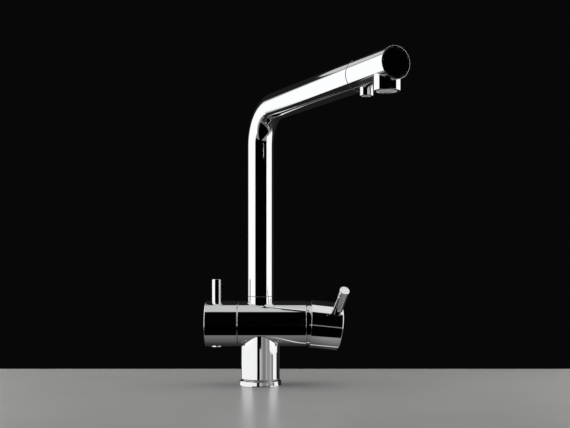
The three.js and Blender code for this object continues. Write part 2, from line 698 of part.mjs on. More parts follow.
function makeHead() {
  const back = ARM_LENGTH + FIT;
  const neckRadius = tubeBore - FIT;
  const shell = alongArm(turned([
    [neckRadius - HEAD_NECK_WALL, ARM_LENGTH - HEAD_NECK_LENGTH],
    [neckRadius, ARM_LENGTH - HEAD_NECK_LENGTH],
    [neckRadius, back],
    [tubeRadius, back],
    [tubeRadius, armEnd - END_CHAMFER],
    [tubeRadius - END_CHAMFER, armEnd],
    [tubeBore, armEnd],
    [tubeBore, back + TUBE_WALL],
    [neckRadius - HEAD_NECK_WALL, back + TUBE_WALL],
    [neckRadius - HEAD_NECK_WALL, ARM_LENGTH - HEAD_NECK_LENGTH],
  ], TUBE_SIDES));
  const holes = [
    [mainOutletReach, MAIN_OUTLET_DIAMETER, mainOutletBottom],
    [filteredOutletReach, FILTERED_OUTLET_DIAMETER, filteredOutletBottom],
  ].map(([reach, diameter, bottom]) => rod(diameter / 2 - OUTLET_NECK_STEP + FIT, bottom, ARM_HEIGHT,
    BORE_SIDES).translate(reach, 0, 0));
  add(spout, 'spout_head', cut(shell, ...holes), chrome());
  add(spout, 'spout_end_cap', alongArm(rod(tubeBore - FIT, armEnd - END_CAP_THICKNESS, armEnd,
    TUBE_SIDES)), chrome());
}

/** Outlet that is cut to the round of the arm where it seats, with a neck through the head's wall. */
function outlet(reach, diameter, wall, bottom) {
  const radius = diameter / 2;
  const skirt = cut(
    chamferedRod(radius, bottom, ARM_HEIGHT, OUTLET_EDGE_CHAMFER, 0, BORE_SIDES).translate(reach, 0, 0),
    alongArm(rod(tubeRadius + FIT, reach - diameter, reach + diameter, TUBE_SIDES)),
  );
  const neck = rod(radius - OUTLET_NECK_STEP, bottom + 1, outletNeckTop, BORE_SIDES);
  const bore = rod(radius - wall, bottom - 1, outletNeckTop + 1, BORE_SIDES);
  return cut(join(skirt, neck.translate(reach, 0, 0)), bore.translate(reach, 0, 0));
}

/** Plate with one hole in the middle and rings of holes round it. */
function flowPlate(radius, low, high, rings) {
  const holeRadius = FLOW_HOLE_DIAMETER / 2;
  const holes = [rod(holeRadius, low - 1, high + 1, 8)];
  for (const { count, pitch } of rings) {
    for (let i = 0; i < count; i += 1) {
      const angle = (2 * Math.PI * i) / count;
      const place = [pitch * Math.cos(angle), pitch * Math.sin(angle), 0];
      holes.push(rod(holeRadius, low - 1, high + 1, 8).translate(...place));
    }
  }
  return cut(rod(radius, low, high, BORE_SIDES), ...holes);
}

function makeOutlets() {
  add(spout, 'aerator_housing', outlet(mainOutletReach, MAIN_OUTLET_DIAMETER, MAIN_OUTLET_WALL,
    mainOutletBottom), chrome());
  const aeratorRadius = MAIN_OUTLET_DIAMETER / 2 - MAIN_OUTLET_WALL - FIT;
  const aeratorBottom = mainOutletBottom + INSERT_RECESS;
  const aeratorTop = aeratorBottom + AERATOR_HEIGHT;
  const aeratorHoles = [
    { count: 6, pitch: aeratorRadius * INNER_FLOW_RING },
    { count: 12, pitch: aeratorRadius * OUTER_FLOW_RING },
  ];
  add(spout, 'aerator', flowPlate(aeratorRadius, aeratorBottom, aeratorTop, aeratorHoles)
    .translate(mainOutletReach, 0, 0), plastic());
  add(spout, 'aerator_seal', ring(aeratorRadius, aeratorRadius - AERATOR_SEAL_WIDTH, aeratorTop + FIT,
    aeratorTop + FIT + AERATOR_SEAL_THICKNESS, BORE_SIDES).translate(mainOutletReach, 0, 0), rubber());
  add(spout, 'filtered_nozzle', outlet(filteredOutletReach, FILTERED_OUTLET_DIAMETER,
    FILTERED_OUTLET_WALL, filteredOutletBottom), chrome());
  const insertRadius = FILTERED_OUTLET_DIAMETER / 2 - FILTERED_OUTLET_WALL - FIT;
  const insertBottom = filteredOutletBottom + INSERT_RECESS;
  add(spout, 'filtered_insert', flowPlate(insertRadius, insertBottom,
    insertBottom + FILTERED_INSERT_HEIGHT, [{ count: 5, pitch: insertRadius * INSERT_FLOW_RING }])
    .translate(filteredOutletReach, 0, 0), plastic());
}

// ---------------------------------------------------------------------------------------------------
// Mixer cartridge, in the body's right end

function makeFixedCartridge() {
  const portRadius = PORT_DIAMETER / 2;
  const ports = (low, high) => [
    [PORT_OFFSET, -PORT_OFFSET],
    [-PORT_OFFSET, -PORT_OFFSET],
    [0, PORT_OFFSET / 3],
  ].map(([y, z]) => alongBody(rod(portRadius, low - 1, high + 1, SMALL_SIDES)).translate(0, y, z));
  const sealFront = sealBack + CARTRIDGE_SEAL_THICKNESS;
  add(tap, 'cartridge_seal', cut(alongBody(rod(cartridgeRadius - CARTRIDGE_WALL, sealBack, sealFront,
    BORE_SIDES)), ...ports(sealBack, sealFront)), rubber());
  add(tap, 'cartridge_base', cut(alongBody(rod(cartridgeRadius, baseBack, baseFront, BORE_SIDES)),
    ...ports(baseBack, baseFront)), plastic());
  add(tap, 'ceramic_disc_fixed', cut(alongBody(rod(FIXED_DISC_DIAMETER / 2, housingBack,
    fixedDiscFront, BORE_SIDES)), ...ports(housingBack, fixedDiscFront)), ceramic());
  const inner = cartridgeRadius - CARTRIDGE_WALL;
  add(tap, 'cartridge_housing', alongBody(turned([
    [inner, housingBack],
    [cartridgeRadius, housingBack],
    [cartridgeRadius, housingFront],
    [rotorNeckRadius + FIT, housingFront],
    [rotorNeckRadius + FIT, housingInnerFront],
    [inner, housingInnerFront],
    [inner, housingBack],
  ], TUBE_SIDES)), plastic());
  add(tap, 'cartridge_nut', alongBody(turned([
    [nutBore, nutBack],
    [nutRadius, nutBack],
    [nutRadius, nutFront],
    [domeBore - FIT, nutFront],
    [domeBore - FIT, nutBossFront],
    [nutBore, nutBossFront],
    [nutBore, nutBack],
  ], TUBE_SIDES)), brass());
}

/** Ring whose outside is round about the pivot, so that the tilting cap passes over it. */
function makeDome() {
  const outside = [];
  for (let step = 0; step <= DOME_STEPS; step += 1) {
    const x = domeBack + (DOME_LENGTH * step) / DOME_STEPS;
    outside.push([Math.sqrt(DOME_RADIUS ** 2 - (x - pivotX) ** 2), x]);
  }
  add(tap, 'handle_dome', alongBody(turned([
    [domeBore, domeBack],
    ...outside,
    [domeBore, domeFront],
    [domeBore, domeBack],
  ], ROUND_SIDES)), chrome());
}

/** Carrier that turns in the housing. Its slot lets the stem tilt. The group stands at the pivot. */
function makeRotor() {
  const back = rotorBack - pivotX;
  const shoulder = rotorShoulder - pivotX;
  const front = rotorFront - pivotX;
  const plug = alongX(turned([
    [0, back],
    [rotorRadius, back],
    [rotorRadius, shoulder],
    [rotorNeckRadius, shoulder],
    [rotorNeckRadius, front],
    [0, front],
  ], TUBE_SIDES));
  const slot = block([back - 1, -slotHalfWidth, -slotHalfHeight], [front + 1, slotHalfWidth, slotHalfHeight]);
  const pinRadius = PIVOT_PIN_DIAMETER / 2;
  const pinHole = alongMinusY(rod(pinRadius + FIT, -rotorNeckRadius - 1, rotorNeckRadius + 1, SMALL_SIDES));
  add(cartridgeTurn, 'cartridge_rotor', cut(plug, slot, pinHole), plastic());
  add(cartridgeTurn, 'stem_pivot_pin', alongMinusY(rod(pinRadius, -rotorNeckRadius + FIT,
    rotorNeckRadius - FIT, SMALL_SIDES)), steel());
}

/** Moving disc with its driver, slid off centre by the stem's finger. */
function makeMovingDisc() {
  const back = movingDiscBack - pivotX;
  const front = driverFront - pivotX;
  const disc = alongX(turned([
    [0, back],
    [MOVING_DISC_DIAMETER / 2, back],
    [MOVING_DISC_DIAMETER / 2, back + DISC_THICKNESS],
    [DRIVER_DIAMETER / 2, back + DISC_THICKNESS],
    [DRIVER_DIAMETER / 2, front],
    [0, front],
  ], BORE_SIDES));
  const socket = alongX(rod(fingerTipRadius + FIT, front - FINGER_TIP_DIAMETER - 2 * FIT, front + 1,
    SMALL_SIDES));
  add(cartridgeTurn, 'ceramic_disc_moving', cut(disc, socket).translate(0, 0, discShift), ceramic());
}

// ---------------------------------------------------------------------------------------------------
// Mixer cap, built about the pivot with its axis along +X and its lever along +Z

function makeStem() {
  const bar = block([0, -stemHalf, -stemHalf], [capFloor - FIT, stemHalf, stemHalf]);
  const knuckle = alongMinusY(rod(stemHalf, -stemHalf, stemHalf, BORE_SIDES));
  const finger = alongX(rod(fingerRadius, -fingerLength, 0, SMALL_SIDES));
  const tip = new THREE.SphereGeometry(fingerTipRadius, SMALL_SIDES, 10).translate(-fingerLength, 0, 0);
  const pinHole = alongMinusY(rod(PIVOT_PIN_DIAMETER / 2 + FIT, -STEM_WIDTH, STEM_WIDTH, SMALL_SIDES));
  add(handle, 'mixer_stem', cut(join(bar, knuckle, finger, tip), pinHole), brass());
}

/** Moves the corners that lie below a height along X, the further the higher up they are. */
function slanted(geometry, below, slope) {
  const position = geometry.getAttribute('position');
  for (let i = 0; i < position.count; i += 1) {
    if (position.getX(i) < below) position.setX(i, position.getX(i) - slope * position.getZ(i));
  }
  return geometry;
}

function makeCap() {
  const rimTop = capRim + CAP_RIM_CHAMFER;
  const straight = alongX(turned([
    [capBossRadius, capFloor],
    [capBore, capFloor],
    [capBore, CAP_SKIRT_END],
    [capSkirtBore, CAP_SKIRT_END],
    [capSkirtBore, capRim + CAP_RIM_CHAMFER / 2],
    [capSkirtBore + CAP_RIM_CHAMFER / 2, capRim],
    [capRadius - CAP_RIM_CHAMFER, capRim],
    [capRadius, rimTop],
    [capRadius, capEnd - CAP_END_CHAMFER],
    [capRadius - CAP_END_STEP, capEnd - CAP_END_STEP],
    [capRadius - CAP_END_CHAMFER, capEnd],
    [0, capEnd],
    [0, capBossBack],
    [capBossRadius, capBossBack],
    [capBossRadius, capFloor],
  ], ROUND_SIDES));
  const shell = slanted(straight, (rimTop + capBossBack) / 2, Math.tan(radians(CAP_RIM_SLANT)));
  const hole = stemHalf + FIT;
  const socket = block([capBossBack - 1, -hole, -hole], [capFloor, hole, hole]);
  const leverSeat = rod(leverHole, capRadius - LEVER_SEAT_DEPTH - FIT, capRadius + 1, BORE_SIDES)
    .translate(capLeverX, 0, 0);
  const screwSeat = rod(screwHole, -capRadius - 1, 0, SMALL_SIDES).translate(capScrewX, 0, 0);
  add(handle, 'mixer_handle', cut(shell, socket, leverSeat, screwSeat), chrome());
  add(handle, 'mixer_lever', chamferedRod(leverRadius, capRadius - LEVER_SEAT_DEPTH,
    capRadius + MIXER_LEVER_REACH, 0, LEVER_EDGE_CHAMFER, BORE_SIDES).translate(capLeverX, 0, 0), chrome());
  const screwTop = -stemHalf - FIT;
  add(handle, 'handle_grub_screw', rod(grubScrewRadius, screwTop - GRUB_SCREW_LENGTH, screwTop,
    SMALL_SIDES).translate(capScrewX, 0, 0), steel());
}

// ---------------------------------------------------------------------------------------------------
// Filter knob and its valve, on the body's left end

function makeValve() {
  const sleeve = alongBody(turned([
    [valveBore, valveInner],
    [valveRadius, valveInner],
    [valveRadius, valveFlangeInner],
    [valveFlangeRadius, valveFlangeInner],
    [valveFlangeRadius, valveFlangeOuter],
    [spindleRadius + FIT, valveFlangeOuter],
    [spindleRadius + FIT, valveChamberEnd],
    [valveBore, valveChamberEnd],
    [valveBore, valveInner],
  ], BORE_SIDES));
  const groove = alongBody(ring(valveRadius + 1, valveRadius - VALVE_O_RING_THICKNESS,
    valveORingX - VALVE_O_RING_THICKNESS / 2 - FIT / 2, valveORingX + VALVE_O_RING_THICKNESS / 2 + FIT / 2,
    BORE_SIDES));
  const window = alongBody(rod(drillingRadius / 2, -valveRadius - 1, valveRadius + 1, SMALL_SIDES)
    .rotateY(Math.PI / 2)).translate(spindleHeadStart, 0, 0);
  add(tap, 'filter_valve_body', cut(sleeve, groove, window), brass());
  const oRing = new THREE.TorusGeometry(valveRadius - VALVE_O_RING_THICKNESS / 2 + FIT / 2,
    VALVE_O_RING_THICKNESS / 2 - FIT / 3, 8, BORE_SIDES).translate(0, 0, valveORingX);
  add(tap, 'filter_valve_o_ring', alongBody(oRing), rubber());
  const discRadius = valveBore - FIT;
  add(tap, 'filter_disc_fixed', waterDisc(discRadius, filterDiscFixedEnd, valveInner), ceramic());
  add(filterKnob, 'filter_disc_turning', waterDisc(discRadius, filterDiscTurningEnd,
    filterDiscTurningStart), ceramic());
  add(filterKnob, 'filter_spindle', alongBody(turned([
    [0, spindleEnd],
    [spindleRadius, spindleEnd],
    [spindleRadius, spindleHeadEnd],
    [discRadius, spindleHeadEnd],
    [discRadius, spindleHeadStart],
    [0, spindleHeadStart],
  ], BORE_SIDES)), brass());
}

/** Ceramic disc of the filter valve, with its two water holes. */
function waterDisc(radius, low, high) {
  const holes = [-1, 1].map((side) => alongBody(rod(radius * VALVE_DISC_HOLE, low - 1, high + 1,
    SMALL_SIDES))
    .translate(0, 0, (side * radius) / 2));
  return cut(alongBody(rod(radius, low, high, BORE_SIDES)), ...holes);
}

function makeKnob() {
  const barrel = alongBody(chamferedRod(bodyRadius, knobLeft, knobRight, KNOB_END_CHAMFER, SEAM_CHAMFER,
    ROUND_SIDES));
  const hollow = alongBody(rod(knobHollowRadius, knobHollowEnd, knobRight + 1, TUBE_SIDES));
  const socket = alongBody(rod(spindleRadius + FIT, spindleEnd - FIT, knobHollowEnd + 1, BORE_SIDES));
  const leverHoleThrough = rod(leverHole, BODY_AXIS_HEIGHT - bodyRadius - 1, bodyTop + 1, BORE_SIDES)
    .translate(knobLeverX, 0, 0);
  const screwX = (knobHollowEnd + spindleEnd) / 2;
  const screwSeat = rod(screwHole, -bodyRadius - 1, 0, SMALL_SIDES)
    .translate(screwX, 0, BODY_AXIS_HEIGHT);
  add(filterKnob, 'filter_knob', cut(barrel, hollow, socket, leverHoleThrough, screwSeat), chrome());
  const leverFoot = BODY_AXIS_HEIGHT - bodyRadius - FILTER_LEVER_TAIL;
  add(filterKnob, 'filter_lever', chamferedRod(leverRadius, leverFoot, bodyTop + FILTER_LEVER_REACH,
    LEVER_EDGE_CHAMFER, LEVER_EDGE_CHAMFER, BORE_SIDES).translate(knobLeverX, 0, 0), chrome());
  const screwTop = BODY_AXIS_HEIGHT - spindleRadius - FIT;
  add(filterKnob, 'knob_grub_screw', rod(grubScrewRadius, screwTop - GRUB_SCREW_LENGTH, screwTop,
    SMALL_SIDES).translate(screwX, 0, 0), steel());
}

makeBaseRing();
makeDeckFixing();
makeInlets();
makeBody();
makeSwivel();
makeSpigot();
makeSpoutTube();
makeWaterTube();
makeHead();
makeOutlets();
makeFixedCartridge();
makeDome();
makeRotor();
makeMovingDisc();
makeStem();
makeCap();
makeValve();
makeKnob();

export default tap;
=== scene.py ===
"""Kitchen tap with a filtered water outlet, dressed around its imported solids.

Every polished piece is a surface worked out with numpy: a profile turned about an axis or carried along
the bent spout, with the openings of the real casting let into it. The studio is a pale worktop with soft
panels on both sides and overhead. Cards over the worktop set what the polished metal mirrors of it.
"""

import math
from functools import partial

import bmesh
import bpy
import numpy as np
from bpy.props import FloatProperty, FloatVectorProperty, PointerProperty
from bpy.types import Operator, Panel, PropertyGroup
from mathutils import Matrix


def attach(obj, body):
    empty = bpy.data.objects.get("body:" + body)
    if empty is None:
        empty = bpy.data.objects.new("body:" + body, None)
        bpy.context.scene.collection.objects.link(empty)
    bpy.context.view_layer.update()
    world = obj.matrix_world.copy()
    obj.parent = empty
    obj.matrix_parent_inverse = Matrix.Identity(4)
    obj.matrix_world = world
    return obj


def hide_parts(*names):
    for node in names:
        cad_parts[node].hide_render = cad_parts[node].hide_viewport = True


bl_info = {
    "name": "Filtered Water Tap",
    "version": (1, 0, 0),
    "blender": (4, 5, 0),
    "location": "View3D > Sidebar > Tap",
    "description": "Polished surfaces, finishes and studio of a kitchen tap with a filtered water outlet",
    "category": "Object",
}

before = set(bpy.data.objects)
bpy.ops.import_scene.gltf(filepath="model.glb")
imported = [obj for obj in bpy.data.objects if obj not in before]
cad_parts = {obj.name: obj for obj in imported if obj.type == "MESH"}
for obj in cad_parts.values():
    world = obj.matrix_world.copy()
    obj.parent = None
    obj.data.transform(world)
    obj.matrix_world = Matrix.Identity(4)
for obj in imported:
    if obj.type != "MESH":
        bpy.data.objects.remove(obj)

MM = 0.001
SIDES = 128  # columns round a piece
BAND_ROWS = 28  # rows of a band that holds an opening
RAY_ROWS = 9  # rows from an opening's edge to the band's own grid
RAY_GATHER = 1.5  # power that draws those rows to the opening
LIP_ROWS = 4  # rows round the lip of an opening
ARC_STEP = math.radians(15)  # of a rounded edge
BEND_ROWS = 56  # rows of the spout's bend
RUN_ROWS = 12  # rows of each of its straight runs
WELD = 2e-6  # distance under which two points are one
EDGE = 0.15 * MM  # rounding of an edge that looks sharp
PLATE_EDGE = 0.03 * MM  # rounding between the head and the plate in its end
PLATE_CLEARANCE = 0.02 * MM
LEVER_CLEARANCE = 0.1 * MM  # round a pin lever in its hole
DOME_STEPS = 4  # arcs of the round ring behind the cap
SEAT_EDGE = 0.05 * MM  # rounding in a seam or where a piece lies against another
SEAM_CLEARANCE = 0.04 * MM  # beside a dark ring of painted shade in a seam
SEAM_DEPTH = 0.5 * MM  # from the tube's face to that ring
SCREW_CLEARANCE = 0.3 * MM  # round a grub screw, and round an outlet's neck
# Degrees round a piece that the rays of an opening take, to each side
FILTERED_SPAN, MAIN_SPAN, SOCKET_SPAN, RETAINER_SPAN, SADDLE_SPAN = 30.0, 66.0, 45.0, 10.0, 67.5
LEVER_SPAN, SCREW_SPAN = 25.0, 12.0
# Way along the axis beyond an opening's edge, or from its middle, to the end of its band
NOZZLE_MARGIN, SADDLE_MARGIN, LEVER_MARGIN = 1.2 * MM, 0.6 * MM, 1.0 * MM
LEVER_REACH, CAP_SCREW_REACH, KNOB_SCREW_REACH = 6.4 * MM, 2.45 * MM, 2.8 * MM
TURNS = np.linspace(0, 2 * math.pi, 96 + 1)  # columns round a thread or a nut
UP = (0.0, 0.0, 1.0)
ALONG = (1.0, 0.0, 0.0)


# ------------------------------------------------------------
# Sizes and colours. Heights are above the deck.


def length(description, millimetres):
    unit = {"unit": "LENGTH", "subtype": "DISTANCE", "precision": 5}
    return partial(FloatProperty, description=description, default=millimetres * MM, **unit)


def turn(description, degrees):
    unit = {"unit": "ROTATION", "subtype": "ANGLE"}
    return partial(FloatProperty, description=description, default=math.radians(degrees), **unit)


def colour(description, *channels):
    limits = {"size": 3, "min": 0, "max": 1, "subtype": "COLOR"}
    return partial(FloatVectorProperty, description=description, default=channels, **limits)


def named(group):
    """Property group whose properties take their names from their identifiers."""
    for size, make in group.__annotations__.items():
        group.__annotations__[size] = make(name=size.replace("_", " ").capitalize())
    return group


@named
class SpoutSizes(PropertyGroup):
    tube_radius: length("Outside radius of the bent tube", 14)
    tube_bore: length("Inside radius of the bent tube", 12.5)
    foot: length("Height of the tube's lower end", 95.5)
    arm_height: length("Height of the arm's axis", 293.9)
    bend_radius: length("Radius of the bend, at the tube's axis", 37)
    azimuth: turn("Direction of the arm, from the body's axis", -63.3)
    arm_reach: length("Column's axis to the seam of the head", 203.7)
    head_start: length("Column's axis to the head", 204.35)
    seam_round: length("Edge of the head at its seam", 0.5)
    head_end: length("Column's axis to the flat end", 262.95)
    head_round: length("Rounding of the head's end", 0.35)
    neck_radius: length("Radius of the head's neck inside the arm", 12.2)
    neck_bore: length("Inside radius of the neck", 10.7)
    neck_start: length("Column's axis to the end of the neck", 191.7)
    cap_thickness: length("Thickness of the plate in the head's end", 2)
    collar_low: length("Height of the fixed collar's lower end", 80.5)
    collar_high: length("Height of the fixed collar's upper end", 95.1)


@named
class OutletSizes(PropertyGroup):
    main_reach: length("Column's axis to the main outlet", 248.9)
    main_radius: length("Radius of the main outlet", 11.65)
    main_bore: length("Inside radius of the main outlet", 9.15)
    filtered_reach: length("Column's axis to the filtered outlet", 216.6)
    filtered_radius: length("Radius of the filtered outlet", 5.9)
    filtered_bore: length("Inside radius of the filtered outlet", 4.1)
    main_bottom: length("Height of the main outlet's lower end", 272.3)
    filtered_bottom: length("Height of the filtered outlet's lower end", 273.7)
    neck_step: length("How much narrower the neck in the head's wall is", 1.2)
    neck_top: length("Height of the necks' upper ends", 283.4)
    lip: length("Rounding of the lower edge", 0.4)


@named
class BodySizes(PropertyGroup):
    radius: length("Radius of the body", 24.2)
    axis_height: length("Height of the body's axis", 66.3)
    left: length("Column's axis to the knob's seam", 24.1)
    right: length("Column's axis to the mixer end", 48.9)
    seam_round: length("Rounding at the knob's seam", 0.6)
    end_round: length("Rounding at the mixer end", 0.6)
    socket_radius: length("Radius of the spout's socket", 14.3)
    socket_floor: length("Height of the socket's floor", 64.5)
    nut_radius: length("Radius of the thread in the mixer end", 20.6)
    nut_back: length("Depth position of the thread's end", 44.5)
    chamber_radius: length("Radius of the cartridge's chamber", 17.8)
    chamber_floor: length("Column's axis to the chamber's floor", 16.3)
    boss_radius: length("Radius of the valve boss", 14)
    boss_end: length("Column's axis to the end of the boss", 30.1)
    valve_radius: length("Radius of the valve's bore", 9)
    valve_floor: length("Column's axis to the floor of the valve's bore", 16.3)
    pedestal_radius: length("Radius of the pedestal", 20.65)
    pedestal_foot: length("Height of the pedestal's lower face", 5.8)
    foot_round: length("Radius lost in the rounded foot", 0.7)
    foot_height: length("Height of the rounded foot", 1.8)
    fillet: length("Fillet between pedestal and body", 1.0)
    shank_bore: length("Radius of the thread for the shank", 16.3)
    shank_ceiling: length("Height of the thread's end", 29.8)
    screw_height: length("Height of the retaining screw", 75.5)
    screw_radius: length("Radius of the retaining screw", 2.5)
    screw_outer: length("Column's axis to the screw's outer end", 21.3)
    screw_inner: length("Column's axis to the screw's inner end", 11.0)


@named
class MixerSizes(PropertyGroup):
    pivot: length("Column's axis to the stem's pivot", 52)
    rest_turn: turn("Turn of the lever towards the user", 51)
    rest_tilt: turn("Tilt of the lever away from the body", 9.9)
    rim: length("Pivot to the cap's rim", 0.8)
    end: length("Pivot to the cap's flat end", 33.0)
    radius: length("Radius of the cap", 25.4)
    bore: length("Inside radius of the cap", 21.9)
    skirt_bore: length("Inside radius of the thin skirt over the ring", 24.1)
    skirt_end: length("Pivot to the end of the skirt", 10.5)
    slant: turn("Slant of the rim, nearer the body on the lever's side", 5.5)
    floor: length("Pivot to the floor of the cap's hollow", 17.5)
    boss_back: length("Pivot to the end of the cap's boss", 8.5)
    boss_radius: length("Radius of the cap's boss", 8.5)
    boss_bore: length("Radius of the stem's seat", 6.1)
    rim_round: length("Rounding of the cap's rim", 0.4)
    end_round: length("Rounding of the cap's end", 1.3)
    lever_height: length("Pivot to the lever's axis", 25.25)
    lever_radius: length("Radius of both pin levers", 5.15)
    lever_low: length("Cap's axis to the lever's inner end", 13.4)
    lever_high: length("Cap's axis to the lever's outer end", 62.5)
    lever_edge: length("Rounding of a lever's end", 0.4)
    dome_radius: length("Radius of the ring behind the cap, about the pivot", 23.6)
    dome_back: length("Column's axis to the ring's back", 49.2)
    dome_front: length("Column's axis to the ring's front", 58.0)
    screw_place: length("Pivot to the grub screw", 13.0)
    screw_radius: length("Radius of a grub screw", 2)
    screw_inner: length("Cap's axis to the grub screw", 4.3)
    screw_outer: length("Cap's axis to the grub screw's outer end", 9.3)


@named
class KnobSizes(PropertyGroup):
    right: length("Column's axis to the knob's seam", 24.5)
    left: length("Column's axis to the knob's flat end", 59.1)
    radius: length("Radius of the knob", 24.2)
    seam_round: length("Rounding at the seam", 0.6)
    end_round: length("Rounding of the flat end", 0.8)
    hollow_radius: length("Radius of the hollow for the valve boss", 15)
    hollow_end: length("Column's axis to the hollow's floor", 33.0)
    socket_radius: length("Radius of the spindle's seat", 4.3)
    socket_end: length("Column's axis to the end of the spindle's seat", 39.3)
    lever_place: length("Column's axis to the lever", 47.0)
    lever_low: length("Height of the lever's lower end", 41.1)
    lever_high: length("Height of the lever's upper end", 113.7)
    screw_place: length("Column's axis to the grub screw", 36.0)


@named
class FixingSizes(PropertyGroup):
    ring_radius: length("Radius of the base ring", 22.2)
    flange_radius: length("Radius of the base ring's flange", 22.4)
    flange_height: length("Height of the base ring's flange", 1.0)
    ring_height: length("Height of the base ring", 5.5)
    ring_bore: length("Inside radius of the base ring", 16.3)
    groove_inner: length("Inside radius of the seal's groove", 17.85)
    groove_outer: length("Outside radius of the seal's groove", 20.85)
    groove_height: length("Height of the seal's groove", 2)
    gasket_inner: length("Inside radius of the seal", 18.15)
    gasket_outer: length("Outside radius of the seal", 20.55)
    gasket_height: length("Height of the seal", 1.7)
    shank_radius: length("Radius of the threaded shank", 16)
    shank_bore: length("Inside radius of the shank", 12.5)
    shank_low: length("Height of the shank's lower end", -50)
    shank_high: length("Height of the shank's upper end", 29.5)
    pitch: length("Pitch of the shank's thread", 1.5)
    thread_depth: length("Depth of the shank's thread", 0.8)
    washer_radius: length("Radius of both washers", 25)
    rubber_low: length("Height of the rubber washer's lower face", -13)
    rubber_high: length("Height of the rubber washer's upper face", -10)
    steel_low: length("Height of the steel washer's lower face", -15.3)
    steel_high: length("Height of the steel washer's upper face", -13.3)
    nut_flats: length("Across the flats of the fixing nut", 42)
    nut_low: length("Height of the nut's lower face", -23.6)
    nut_high: length("Height of the nut's upper face", -15.6)
    inlet_radius: length("Radius of an inlet", 4.9)
    inlet_bore: length("Inside radius of an inlet", 3.5)
    inlet_circle: length("Column's axis to an inlet's axis", 7.1)
    inlet_low: length("Height of an inlet's lower end", 17.8)
    inlet_high: length("Height of an inlet's upper end", 34.3)


@named
class Finishes(PropertyGroup):
    chrome: colour("Polished chrome plate", 0.90, 0.905, 0.915)
    brass: colour("Machined brass", 0.78, 0.58, 0.27)
    steel: colour("Stainless steel", 0.58, 0.58, 0.57)
    rubber: colour("Black sealing rubber", 0.018, 0.018, 0.02)
    plastic: colour("White moulded plastic", 0.80, 0.79, 0.76)
    ceramic: colour("Lapped alumina", 0.86, 0.84, 0.80)
    worktop: colour("Pale worktop", 0.62, 0.62, 0.61)


# ------------------------------------------------------------
# Surfaces


def direction(v):
    v = np.asarray(v, float)
    return v / np.linalg.norm(v, axis=-1, keepdims=True)


class Axis:
    """Straight axis. A point has a height along it, a radius from it and an angle that starts at up."""

    def __init__(self, origin, axis=UP, up=ALONG):
        self.origin, self.axis, self.up = np.array(origin, float), direction(axis), direction(up)
        self.side = np.cross(self.axis, self.up)

    def out(self, angle):
        """Direction at an angle: cos(angle) up + sin(angle) side."""
        return np.cos(angle)[..., None] * self.up + np.sin(angle)[..., None] * self.side

    def at(self, height, radius, angle):
        """Point: origin + height axis + radius out(angle)."""
        return self.origin + height[..., None] * self.axis + np.asarray(radius)[..., None] * self.out(angle)

    def surface(self, rows, sides=SIDES):
        """Profile turned about the axis: every row goes round at its own height and radius."""
        height, radius, along, outward = (column[:, None] for column in rows)
        angle = np.linspace(0, 2 * math.pi, sides + 1)[None, :]
        points = self.at(height + 0 * angle, radius + 0 * angle, angle + 0 * height)
        return points, along[..., None] * self.axis + outward[..., None] * self.out(angle)


class SpoutLine:
    """The spout's axis: up the column, round the bend, out along the arm. A height is the way along it."""

    def __init__(self, sizes):
        self.bend = sizes.bend_radius
        self.start = sizes.arm_height - sizes.bend_radius
        self.arm = np.array([math.cos(sizes.azimuth), math.sin(sizes.azimuth), 0.0])
        self.side = np.array([-math.sin(sizes.azimuth), math.cos(sizes.azimuth), 0.0])
        self.end = self.start + self.bend * math.pi / 2

    def along_arm(self, reach):
        """Way along the line of a place on the arm, by its distance from the column's axis."""
        return self.end + reach - self.bend

    def surface(self, rows, sides=SIDES):
        """Profile carried along the line. In the bend, turned by t = way / bend radius: the centre is
        bend (1 - cos t) out and bend sin t up, and the tube's own outward side is -cos t out + sin t up."""
        way, radius, along, outward = rows
        turned = np.clip((way - self.start) / self.bend, 0, math.pi / 2)
        column, reach = np.minimum(way, self.start), np.maximum(way - self.end, 0)
        cosine, sine = np.cos(turned)[:, None], np.sin(turned)[:, None]
        centre = self.arm * (self.bend * (1 - cosine) + reach[:, None]) + np.array(UP) * (
            column[:, None] + self.bend * sine
        )
        ahead = sine * self.arm + cosine * np.array(UP)
        back = sine * np.array(UP) - cosine * self.arm
        angle = np.linspace(0, 2 * math.pi, sides + 1)[None, :, None]
        out = np.cos(angle) * back[:, None] + np.sin(angle) * self.side
        points = centre[:, None] + radius[:, None, None] * out
        return points, along[:, None, None] * ahead[:, None] + outward[:, None, None] * out


def rounded(corners, closed=False):
    """Profile through corners of (height, radius, rounding), or of (height, radius) with the usual EDGE.
    An arc that touches both sides takes the place of each corner, but not of the ends of an open profile.
    The outward direction is to the left of the way along the profile."""
    places = np.array([corner[:2] for corner in corners], float)
    count, rows = len(corners), []
    for i, (height, radius, *given) in enumerate(corners):
        arc = given[0] if given else EDGE
        if not closed and i in (0, count - 1):
            way = direction(places[1] - places[0] if i == 0 else places[-1] - places[-2])
            rows.append([[height, radius, -way[1], way[0]]])
            continue
        before = direction(places[i] - places[i - 1])
        after = direction(places[(i + 1) % count] - places[i])
        bend = math.atan2(before[0] * after[1] - before[1] * after[0], before @ after)
        start = places[i] - before * arc * math.tan(abs(bend) / 2)
        t = bend * np.linspace(0, 1, max(2, math.ceil(abs(bend) / ARC_STEP)) + 1)
        first = np.array([-before[1], before[0]])
        normals = np.outer(np.cos(t), first) - np.outer(np.sin(t), before)
        points = start + math.copysign(arc, bend) * (first - normals)
        rows.append(np.hstack([points, normals]))
    rows = np.vstack(rows)
    return (np.vstack([rows, rows[:1]]) if closed else rows).T


def closer(rows, heights):
    """The same profile with more rows on its straight runs, at the heights given."""
    parts = []
    for first, second in zip(rows.T[:-1], rows.T[1:]):
        low, high = sorted((first[0], second[0]))
        inside = heights[(heights > low + WELD) & (heights < high - WELD)]
        share = np.sort(np.abs(inside - first[0])) / max(high - low, WELD)
        parts.append(first + np.concatenate([[0.0], share])[:, None] * (second - first))
    return np.vstack([*parts, rows.T[-1:]]).T


